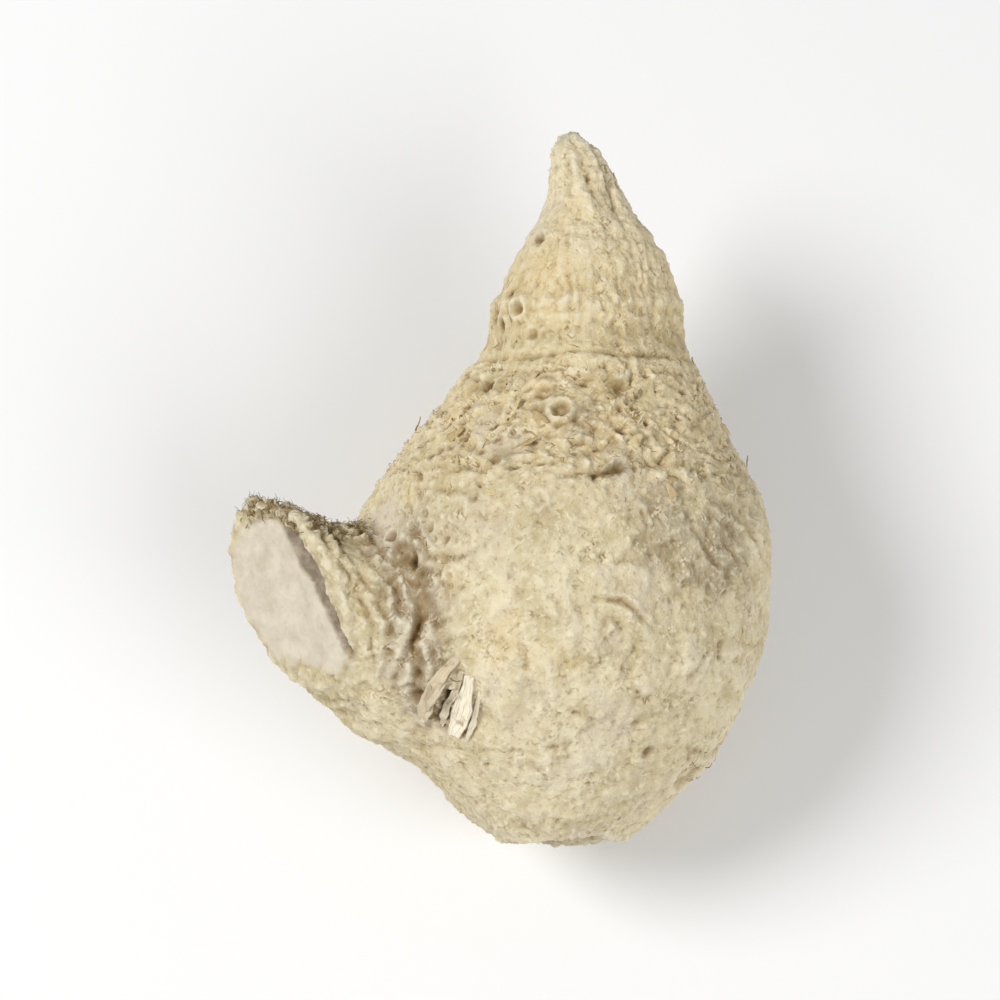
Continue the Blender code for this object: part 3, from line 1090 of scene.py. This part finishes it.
def speckle(tree, places, size, detail=2.0, roughness=0.5):
    """Noise whose spots are about size mm wide."""
    inputs = {"Vector": places, "Scale": 0.5 / (size * MM)}
    inputs.update({"Detail": detail, "Roughness": roughness})
    return add_node(tree, "ShaderNodeTexNoise", inputs, "Fac")


def mix(tree, factor, first, second):
    inputs = {"Factor": factor, "A": first, "B": second}
    return add_node(tree, "ShaderNodeMix", inputs, "Result", data_type="RGBA")


def object_places(tree):
    return add_node(tree, "ShaderNodeTexCoord", {}, "Object")


def wear(thing, material):
    """Leaves the object one material, and says how big it is."""
    thing.data.materials.clear()
    thing.data.materials.append(material)
    print(thing.name, "faces:", len(thing.data.polygons))


def bump(tree, height_value, strength, depth):
    inputs = {"Height": height_value, "Strength": strength, "Distance": depth * MM}
    return add_node(tree, "ShaderNodeBump", inputs, "Normal")


# %% [markdown]
# ## The colour of dry skin
#
# Dry rhizome skin is matt and dusty. Its colour wanders between cream, olive tan and a
# greyish lavender within a few millimetres. The stored masks bring in the yellow cone and
# the patches, each through a helper that tints by a mask. Hollows and creases are painted
# brown, as dust and painted shade, and the high spots paler, as wear and painted highlight.

# %% Skin colours
CREAM = colour(226, 214, 180)
TAN = colour(211, 196, 160)
OLIVE_TAN = colour(190, 174, 132)
LAVENDER = colour(209, 196, 175)
TINTS = (
    ("yellow", 0.60, colour(219, 197, 148)),
    ("pale_tip", 0.60, colour(243, 230, 194)),
    ("olive", 0.60, colour(168, 152, 108)),
    ("ochre", 0.60, colour(221, 194, 140)),
    ("grey", 0.85, colour(211, 199, 180)),
    ("purple", 0.75, colour(134, 120, 113)),
    ("felt", 0.90, colour(116, 95, 54)),
    ("bud", 0.85, colour(140, 142, 112)),
)
BROWN = colour(138, 112, 72)
DARK_BROWN = colour(66, 48, 28)
WEAR_AND_HIGHLIGHT = colour(236, 227, 200)


def tint_by_masks(tree, shade, places):
    """Lays each patch colour over the shade, broken up by a fine noise."""
    broken = span(tree, speckle(tree, places, 0.7, 4.0, 0.65), 0.32, 0.60, 0.55, 1.0)
    for name, strength, tint in TINTS:
        amount = times(tree, mask(tree, name), strength, clamp=True)
        shade = mix(tree, times(tree, amount, broken), shade, tint)
    return shade


def skin_colour(tree, places, streaks, dots):
    broad = speckle(tree, places, 3.2, 3.0, 0.55)
    medium = speckle(tree, places, 1.1, 4.0, 0.6)
    shade = mix(tree, span(tree, broad, 0.38, 0.62), TAN, CREAM)
    shade = mix(tree, span(tree, medium, 0.50, 0.66, 0.0, 0.60), shade, OLIVE_TAN)
    shade = mix(tree, span(tree, medium, 0.46, 0.30, 0.0, 0.60), shade, LAVENDER)
    shade = tint_by_masks(tree, shade, places)
    shade = mix(tree, span(tree, streaks, 0.52, 0.74, 0.0, 0.32), shade, BROWN)
    shade = mix(tree, span(tree, dots, 0.57, 0.72, 0.0, 0.55), shade, BROWN)
    shade = mix(tree, span(tree, dots, 0.43, 0.28, 0.0, 0.55), shade, WEAR_AND_HIGHLIGHT)
    return shade


def dust_and_shade_in_hollows(tree, shade, places):
    # Hollows, creases: dust and painted shade. High spots: wear and painted highlight.
    dust = speckle(tree, places, 0.8, 5.0, 0.7)
    shade = mix(tree, span(tree, mask(tree, "wide_hollow"), 0.55, 1.0, 0.0, 0.45), shade, BROWN)
    shade = mix(tree, span(tree, mask(tree, "wide_hollow"), 0.48, 0.1, 0.0, 0.30), shade, WEAR_AND_HIGHLIGHT)
    shade = mix(tree, span(tree, mask(tree, "hollow"), 0.62, 1.05, 0.0, 0.60), shade, BROWN)
    shade = mix(tree, span(tree, mask(tree, "hollow"), 0.42, 0.0, 0.0, 0.65), shade, WEAR_AND_HIGHLIGHT)
    dark = times(tree, mask(tree, "crease"), span(tree, dust, 0.3, 0.6, 0.5, 1.1))
    shade = mix(tree, span(tree, dark, 0.0, 0.9, 0.0, 0.75), shade, BROWN)
    return mix(tree, span(tree, dark, 0.7, 1.7, 0.0, 0.95), shade, DARK_BROWN)


# %% [markdown]
# ## The colour of the break
#
# Broken flesh is starchy, smoother and greyer than the skin. It joins the same material
# through the mask of the clean face.

# %% Flesh colours
FLESH = colour(217, 207, 187)
FLESH_SHADE = colour(194, 183, 162)
GAP_GREY = colour(172, 158, 138)
GAP_SHADE = colour(132, 118, 102)


def add_flesh(tree, shade, places):
    grain = speckle(tree, places, 0.7, 5.0, 0.65)
    flesh_shade = mix(tree, span(tree, grain, 0.36, 0.70), FLESH, FLESH_SHADE)
    # Painted shade: greyed hollows, a darker gap by the rind and dark brown at the creases.
    hollows = span(tree, mask(tree, "hollow"), 0.7, 1.1, 0.0, 0.3)
    flesh_shade = mix(tree, hollows, flesh_shade, GAP_GREY)
    gap_shade = mix(tree, span(tree, grain, 0.40, 0.62), GAP_SHADE, GAP_GREY)
    flesh_shade = mix(tree, mask(tree, "rind_gap"), flesh_shade, gap_shade)
    dark = span(tree, mask(tree, "crease"), 0.1, 1.0, 0.0, 0.75)
    flesh_shade = mix(tree, dark, flesh_shade, DARK_BROWN)
    return mix(tree, mask(tree, "flesh"), shade, flesh_shade)


# %% [markdown]
# Skin and flesh meet in one material. Its finest grain is too small for the net, so a bump
# node draws it, less strongly on the flesh. The streaks read the stored lengthwise places.

# %% Skin material


def paint_skin():
    made, tree, shader = new_material("dry_skin")
    places = object_places(tree)
    streaks = speckle(tree, mask(tree, "lengthwise", "Vector"), 0.45, 3.0, 0.6)
    dots = speckle(tree, places, 0.26, 3.0, 0.65)
    shade = skin_colour(tree, places, streaks, dots)
    shade = dust_and_shade_in_hollows(tree, shade, places)
    plug(tree, add_flesh(tree, shade, places), shader.inputs["Base Color"])
    shader.inputs["Roughness"].default_value = 0.9
    shader.inputs["Specular IOR Level"].default_value = 0.22
    grain = plus(tree, streaks, dots)
    grain = plus(tree, grain, speckle(tree, places, 0.11, 2.0))
    quiet = span(tree, mask(tree, "flesh"), 0.0, 1.0, 1.0, 0.35)
    rough_height = times(tree, grain, quiet)
    plug(tree, bump(tree, rough_height, 0.75, 0.10), shader.inputs["Normal"])
    return made


wear(skin, paint_skin())

# %% [markdown]
# ## Loose things on the skin
#
# Torn scales, root hairs and crumbs repeat hundreds of times, each a little different. That
# is work for Geometry Nodes: one small shape, points scattered where a stored mask allows,
# and an instance on each, turned and sized at random with a fixed seed. The instances are
# made real at the end, and each piece is shaken by a noise so that no two are alike.

# %% Geometry tree helpers
SOCKET_KINDS = {float: "NodeSocketFloat", int: "NodeSocketInt", str: "NodeSocketString"}


def new_tree(name, settings):
    """A geometry tree with one named input for each setting."""
    tree = bpy.data.node_groups.new(name, "GeometryNodeTree")
    tree.interface.new_socket("Host", in_out="INPUT", socket_type="NodeSocketGeometry")
    tree.interface.new_socket("Result", in_out="OUTPUT", socket_type="NodeSocketGeometry")
    for label, value in settings.items():
        tree.interface.new_socket(label, in_out="INPUT", socket_type=SOCKET_KINDS[type(value)])
    given = tree.nodes.new("NodeGroupInput")
    return tree, given.outputs


def finish_tree(tree, geometry, material):
    """Realize Instances, smooth shading and the material, at the end of every tree."""
    real = add_node(tree, "GeometryNodeRealizeInstances", {"Geometry": geometry}, "Geometry")
    smooth = add_node(tree, "GeometryNodeSetShadeSmooth", {"Geometry": real}, "Geometry")
    inputs = {"Geometry": smooth, "Material": material}
    painted = add_node(tree, "GeometryNodeSetMaterial", inputs, "Geometry")
    tree.links.new(painted, tree.nodes.new("NodeGroupOutput").inputs[0])


def use_tree(host, tree, settings):
    """Puts the tree on the host as a modifier and sets its inputs."""
    modifier = host.modifiers.new(tree.name, "NODES")
    modifier.node_group = tree
    for item in tree.interface.items_tree:
        if item.name in settings:
            modifier[item.identifier] = settings[item.name]


def chance(tree, low, high, seed):
    inputs = {"Min": low, "Max": high, "Seed": seed}
    return add_node(tree, "FunctionNodeRandomValue", inputs, "Value", data_type="FLOAT")


def vector(tree, x, y, z):
    return add_node(tree, "ShaderNodeCombineXYZ", {"X": x, "Y": y, "Z": z}, "Vector")


def parts_of_place(tree):
    """The X, Y and Z of each point's own place."""
    place = add_node(tree, "GeometryNodeInputPosition", {}, "Position")
    return add_node(tree, "ShaderNodeSeparateXYZ", {"Vector": place}).outputs


def move_to(tree, geometry, place):
    inputs = {"Geometry": geometry, "Position": place}
    return add_node(tree, "GeometryNodeSetPosition", inputs, "Geometry")


def remember(tree, geometry, name, value, **choices):
    """Stores a value on the geometry under a name."""
    inputs = {"Geometry": geometry, "Name": name, "Value": value}
    return add_node(tree, "GeometryNodeStoreNamedAttribute", inputs, "Geometry", **choices)


# %% [markdown]
# Every loose thing is strewn the same way, so one function builds that part of the tree.
# The shape's Z axis is turned to the skin's normal, and then its Y axis towards the tip.
# `Tilt` lifts it off the skin, and `Spin` lets it stray from the tip's direction.

# %% Strew a shape
STREW_SETTINGS = {
    "Where": "",
    "Per square metre": 1e6,
    "Smallest": 0.5,
    "Largest": 1.0,
    "Tilt": 0.3,
    "Spin": 0.5,
    "Shake": 0.0002,
    "Shake scale": 1500.0,
    "Seed": 1,
}


def turn_of(tree, given, normal):
    """The rotation of each copy, from the skin's normal, the tip's direction and chance."""
    align = "FunctionNodeAlignRotationToVector"
    upright = add_node(tree, align, {"Vector": normal}, "Rotation", axis="Z")
    inputs = {"Rotation": upright, "Vector": tuple(TIPWARD)}
    turned = add_node(tree, align, inputs, "Rotation", axis="Y", pivot_axis="Z")
    least_spin = times(tree, given["Spin"], -1.0)
    spin = chance(tree, least_spin, given["Spin"], 11)
    tilt = chance(tree, times(tree, given["Tilt"], 0.15), given["Tilt"], 12)
    for euler in (vector(tree, 0.0, 0.0, spin), vector(tree, tilt, 0.0, 0.0)):
        extra = add_node(tree, "FunctionNodeEulerToRotation", {"Euler": euler}, "Rotation")
        inputs = {"Rotation": turned, "Rotate By": extra}
        rotate = "FunctionNodeRotateRotation"
        turned = add_node(tree, rotate, inputs, "Rotation", rotation_space="LOCAL")
    return turned


def strew(tree, given, shape):
    """Instances of the shape on the host's faces, where the mask named by Where allows."""
    inputs = {"Name": given["Where"]}
    allowed = add_node(tree, "GeometryNodeInputNamedAttribute", inputs, "Attribute")
    density = times(tree, allowed, given["Per square metre"])
    inputs = {"Mesh": given["Host"], "Density": density, "Seed": given["Seed"]}
    spread = add_node(tree, "GeometryNodeDistributePointsOnFaces", inputs)
    turned = turn_of(tree, given, spread.outputs["Normal"])
    sizes = [chance(tree, given["Smallest"], given["Largest"], seed) for seed in (1, 2, 3)]
    inputs = {
        "Points": spread.outputs["Points"],
        "Instance": shape,
        "Rotation": turned,
        "Scale": vector(tree, *sizes),
    }
    placed = add_node(tree, "GeometryNodeInstanceOnPoints", inputs, "Instances")
    tinted = remember(tree, placed, "tint", chance(tree, 0.0, 1.0, 7), domain="INSTANCE")
    return add_node(tree, "GeometryNodeRealizeInstances", {"Geometry": tinted}, "Geometry")


def shake(tree, given, geometry):
    """Shifts the made-real points by a noise, so that each copy has its own shape."""
    inputs = {"Scale": given["Shake scale"], "Detail": 1.0}
    noise = add_node(tree, "ShaderNodeTexNoise", inputs, "Color")
    centred = add_node(tree, "ShaderNodeVectorMath", {}, operation="SUBTRACT")
    plug(tree, noise, centred.inputs[0])
    plug(tree, (0.5, 0.5, 0.5), centred.inputs[1])
    scaled = add_node(tree, "ShaderNodeVectorMath", {}, operation="SCALE")
    plug(tree, centred.outputs[0], scaled.inputs[0])
    plug(tree, given["Shake"], scaled.inputs["Scale"])
    inputs = {"Geometry": geometry, "Offset": scaled.outputs[0]}
    return add_node(tree, "GeometryNodeSetPosition", inputs, "Geometry")


def make_loose(name, shape_maker, material, **changes):
    """A piece made of many copies of one small shape, strewn over the skin."""
    settings = {**STREW_SETTINGS, **changes}
    tree, given = new_tree(name, settings)
    shaken = shake(tree, given, strew(tree, given, shape_maker(tree)))
    finish_tree(tree, shaken, material)
    host = bpy.data.objects.new(name, skin.data)
    bpy.context.scene.collection.objects.link(host)
    use_tree(host, tree, settings)
    apply_modifiers(host)
    wear(host, material)
    return host


# %% [markdown]
# ## Loose materials
#
# Scales, hairs and crumbs share one dry plant look in different colours. `tint` is the random
# number that each copy was given, so neighbours differ.

# %% Paint for loose things


def paint_loose(name, pale, dark, darkest_share):
    made, tree, shader = new_material(name)
    places = object_places(tree)
    blend = plus(tree, mask(tree, "tint"), speckle(tree, places, 0.35, 3.0))
    shade = mix(tree, span(tree, blend, 0.55, 1.35), pale, dark)
    fleck = span(tree, speckle(tree, places, 0.12, 2.0), 0.5, 0.75, 0.0, darkest_share)
    plug(tree, mix(tree, fleck, shade, DARK_BROWN), shader.inputs["Base Color"])
    shader.inputs["Roughness"].default_value = 0.85
    shader.inputs["Specular IOR Level"].default_value = 0.2
    plug(tree, bump(tree, speckle(tree, places, 0.08, 2.0), 0.5, 0.04), shader.inputs["Normal"])
    return made


scale_paint = paint_loose("torn_scale", colour(218, 199, 156), colour(190, 168, 124), 0.30)
hair_paint = paint_loose("root_hair", colour(216, 198, 156), colour(142, 116, 74), 0.40)
felt_paint = paint_loose("root_felt", colour(198, 176, 126), colour(98, 78, 40), 0.50)
crumb_paint = paint_loose("crumb", colour(206, 186, 142), colour(132, 108, 70), 0.50)

# %% [markdown]
# ## Sheath scales
#
# A scale is a thin chip of leaf sheath, about a millimetre long, wider where it is attached
# and curling up at its torn end. It starts as a flat grid of a few dozen faces, and its
# width and lift follow the distance from its base.

# %% Scales
SCALE_LENGTH = 1.5 * MM
SCALE_WIDTH = 0.95 * MM
SCALE_THICKNESS = 0.05 * MM
SCALE_CURL = 0.08 * MM
SCALE_ARCH = -190.0


def scale_shape(tree):
    inputs = {"Size": (SCALE_WIDTH, SCALE_LENGTH, SCALE_THICKNESS)}
    inputs.update({"Vertices X": 5, "Vertices Y": 6, "Vertices Z": 2})
    grid = add_node(tree, "GeometryNodeMeshCube", inputs, "Mesh")
    parts = parts_of_place(tree)
    share = span(tree, parts["Y"], -SCALE_LENGTH / 2, SCALE_LENGTH / 2)
    steep = maths(tree, "POWER", share, 2.0)
    narrow = maths(tree, "SUBTRACT", 1.0, times(tree, steep, 0.6))
    arch = times(tree, times(tree, parts["X"], parts["X"]), SCALE_ARCH)
    lift = plus(tree, times(tree, steep, SCALE_CURL), arch)
    bent = vector(
        tree,
        times(tree, parts["X"], narrow),
        plus(tree, parts["Y"], SCALE_LENGTH * 0.4),
        plus(tree, parts["Z"], lift),
    )
    return move_to(tree, grid, bent)


scales = make_loose(
    "sheath_scales",
    scale_shape,
    scale_paint,
    Where="scales_here",
    Seed=3,
    Smallest=0.4,
    Largest=1.0,
    Tilt=0.06,
    Spin=0.9,
    **{"Per square metre": 0.40e6, "Shake": 0.00030, "Shake scale": 1300.0},
)

# %% [markdown]
# ## Hairs and felt
#
# A root hair is a bent, tapering thread. The rings and root scars carry short pale ones, and
# the upper side of the stump is matted with dark ones. Both are the same curve swept with a
# small circle, only sized and strewn differently.

# %% Hairs
HAIR_LENGTH = 1.1 * MM
HAIR_RADIUS = 0.05 * MM


def hair_shape(tree):
    path = {
        "Resolution": 6,
        "Start": (0.0, 0.0, -0.05 * HAIR_LENGTH),
        "Middle": (0.20 * HAIR_LENGTH, 0.4 * HAIR_LENGTH, 0.22 * HAIR_LENGTH),
        "End": (-0.06 * HAIR_LENGTH, HAIR_LENGTH, -0.04 * HAIR_LENGTH),
    }
    curve = add_node(tree, "GeometryNodeCurveQuadraticBezier", path, "Curve")
    inputs = {"Resolution": 5, "Radius": HAIR_RADIUS}
    circle = add_node(tree, "GeometryNodeCurvePrimitiveCircle", inputs, "Curve")
    along_hair = add_node(tree, "GeometryNodeSplineParameter", {}, "Factor")
    taper = span(tree, along_hair, 0.0, 1.0, 1.0, 0.35)
    inputs = {"Curve": curve, "Profile Curve": circle, "Scale": taper, "Fill Caps": True}
    return add_node(tree, "GeometryNodeCurveToMesh", inputs, "Mesh")


hairs = make_loose(
    "root_hairs",
    hair_shape,
    hair_paint,
    Where="hairs_here",
    Seed=5,
    Smallest=0.35,
    Largest=1.0,
    Tilt=0.10,
    Spin=2.4,
    **{"Per square metre": 0.9e6, "Shake": 0.0003, "Shake scale": 1200.0},
)
felt_mat = make_loose(
    "root_felt",
    hair_shape,
    felt_paint,
    Where="felt",
    Seed=8,
    Smallest=0.3,
    Largest=0.8,
    Tilt=0.20,
    Spin=3.1,
    **{"Per square metre": 8e6, "Shake": 0.0005, "Shake scale": 1300.0},
)

# %% [markdown]
# ## Crumbs
#
# Bits of soil and starch stick in the hollows. Each is a ball of twenty faces, shaken out of
# round.

# %% Crumbs
CRUMB_RADIUS = 0.14 * MM


def crumb_shape(tree):
    inputs = {"Radius": CRUMB_RADIUS, "Subdivisions": 2}
    return add_node(tree, "GeometryNodeMeshIcoSphere", inputs, "Mesh")


crumbs = make_loose(
    "crumbs",
    crumb_shape,
    crumb_paint,
    Where="crumbs_here",
    Seed=9,
    Smallest=0.3,
    Largest=1.0,
    Spin=3.1,
    **{"Per square metre": 0.45e6, "Shake": 0.0003, "Shake scale": 2500.0},
)

# %% [markdown]
# ## The torn root
#
# Where a root was pulled off below the saddle, its rind hangs in pale ribbons round a dark
# hole. Each ribbon follows a path over the skin, given as distance, angle and lift, and its
# flat section lies along the skin. Geometry Nodes sweep that section along the path, and
# the ribbon's two directions are stored for its fibrous streaks. A row gives its width, how
# dull it is, and its path.

# %% Ribbon paths
RIBBONS = (
    (1.40, 0.0, ((41.2, -28, 0.00), (42.6, -31, 0.30), (44.0, -35, 0.35), (45.4, -40, 0.15))),
    (1.10, 0.8, ((39.9, -31, 0.00), (41.3, -37, 0.22), (42.8, -43, 0.30), (44.4, -49, 0.05))),
    (0.60, 0.4, ((40.8, -30, 0.00), (42.2, -34, 0.20), (43.6, -39, 0.20), (44.9, -44, 0.00))),
    (0.45, 0.7, ((40.6, -33, 0.00), (42.0, -39, 0.35), (43.6, -46, 0.10))),
    (0.45, 0.3, ((42.2, -26, 0.00), (43.8, -29, 0.10), (45.8, -35, 0.00))),
)
RIBBON_THICKNESS = 0.13 * MM


def ribbon_guide(path):
    """A smooth curve above the skin."""
    curve = bpy.data.curves.new("ribbon_guide", "CURVE")
    curve.dimensions = "3D"
    spline = curve.splines.new("BEZIER")
    spline.bezier_points.add(len(path) - 1)
    for knot, (mark_distance, mark_angle, lift) in zip(spline.bezier_points, path):
        index = spot_index(mark_distance, mark_angle)
        knot.co = (points[index] + lift * normals[index]) * MM
        knot.handle_left_type = knot.handle_right_type = "AUTO"
    guide = bpy.data.objects.new("torn_root", curve)
    bpy.context.scene.collection.objects.link(guide)
    return guide


# %% Sweep the ribbons
RIBBON_SETTINGS = {
    "Width": 0.001,
    "Thickness": 0.0001,
    "Gutter": 0.8,
    "Dullness": 0.0,
    "Shake": 0.0004,
    "Shake scale": 1200.0,
}
POINTS_ALONG = 26
POINTS_AROUND = 18
FIBRES_ACROSS = 14.0


def resample(tree, curve, points_on_it):
    inputs = {"Curve": curve, "Count": points_on_it}
    return add_node(tree, "GeometryNodeResampleCurve", inputs, "Curve")


def curl_edges(tree, given, section):
    """Bends a flat section into a shallow gutter, as a split sheath dries."""
    parts = parts_of_place(tree)
    off = times(tree, parts["X"], parts["X"])
    lift = maths(tree, "DIVIDE", times(tree, off, given["Gutter"]), given["Width"])
    bent = vector(tree, parts["X"], maths(tree, "SUBTRACT", parts["Y"], lift), parts["Z"])
    return move_to(tree, section, bent)


def ribbon_tree(material):
    tree, given = new_tree("torn_root", RIBBON_SETTINGS)
    path = resample(tree, given["Host"], POINTS_ALONG)
    path = add_node(tree, "GeometryNodeSetCurveNormal", {"Curve": path}, "Curve", mode="Z_UP")
    inputs = {"Width": given["Width"], "Height": given["Thickness"]}
    section = add_node(tree, "GeometryNodeCurvePrimitiveQuadrilateral", inputs, "Curve")
    section = resample(tree, section, POINTS_AROUND)
    section = curl_edges(tree, given, section)
    factor = add_node(tree, "GeometryNodeSplineParameter", {}, "Factor")
    path = remember(tree, path, "along", factor)
    path = remember(tree, path, "tint", given["Dullness"])
    section = remember(tree, section, "across", factor)
    rise = span(tree, factor, 0.0, 0.5, 0.5, 1.0)
    swell = times(tree, rise, span(tree, factor, 0.75, 1.0, 1.0, 0.55))
    inputs = {"Curve": path, "Profile Curve": section, "Scale": swell, "Fill Caps": True}
    swept = add_node(tree, "GeometryNodeCurveToMesh", inputs, "Mesh")
    finish_tree(tree, shake(tree, given, swept), material)
    return tree


def paint_ribbon():
    made, tree, shader = new_material("torn_root")
    across = times(tree, mask(tree, "across"), FIBRES_ACROSS)
    fibre_places = vector(tree, across, mask(tree, "along"), 0.0)
    inputs = {"Vector": fibre_places, "Scale": 3.0, "Detail": 4.0}
    fibres = add_node(tree, "ShaderNodeTexNoise", inputs, "Fac")
    shade = mix(tree, mask(tree, "tint"), colour(255, 245, 222), colour(214, 196, 162))
    shade = mix(tree, span(tree, fibres, 0.45, 0.70, 0.0, 0.8), shade, colour(190, 170, 136))
    spots = speckle(tree, object_places(tree), 0.5, 3.0)
    shade = mix(tree, span(tree, spots, 0.60, 0.74, 0.0, 0.6), shade, BROWN)
    plug(tree, shade, shader.inputs["Base Color"])
    shader.inputs["Roughness"].default_value = 0.8
    plug(tree, bump(tree, fibres, 0.8, 0.10), shader.inputs["Normal"])
    return made


def join(things):
    with bpy.context.temp_override(active_object=things[0], selected_editable_objects=things):
        bpy.ops.object.join()
    return things[0]


ribbon_paint = paint_ribbon()
sweep = ribbon_tree(ribbon_paint)
ribbons = []
for width, dullness, path in RIBBONS:
    guide = ribbon_guide(path)
    settings = {**RIBBON_SETTINGS, "Width": width * MM, "Thickness": RIBBON_THICKNESS}
    settings["Dullness"] = dullness
    use_tree(guide, sweep, settings)
    made = bpy.data.objects.new("ribbon", evaluated_mesh(guide))
    bpy.context.scene.collection.objects.link(made)
    bpy.data.objects.remove(guide)
    ribbons.append(made)
torn_root = join(ribbons)
torn_root.name = "torn_root"
wear(torn_root, ribbon_paint)

# %% [markdown]
# ## One body
#
# Everything rides with the rhizome's one body, and the skin stands for the solid. How far the
# looks reach beyond the solid's box, at each corner, is printed.

SLOTS = (
    (skin, "dry_skin"),
    (scales, "dry_skin"),
    (crumbs, "dry_skin"),
    (hairs, "root_fibre"),
    (felt_mat, "root_fibre"),
    (torn_root, "root_fibre"),
)

for piece, slot in SLOTS:
    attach(piece, "root")
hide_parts("rhizome")

looks_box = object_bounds()
for side, solid_corner, looks_corner in zip(("low", "high"), cad_box, looks_box):
    outgrown = [round(float(gap) / MM, 2) for gap in looks_corner - solid_corner]
    print("looks beyond the solid,", side, "corner, mm:", outgrown)
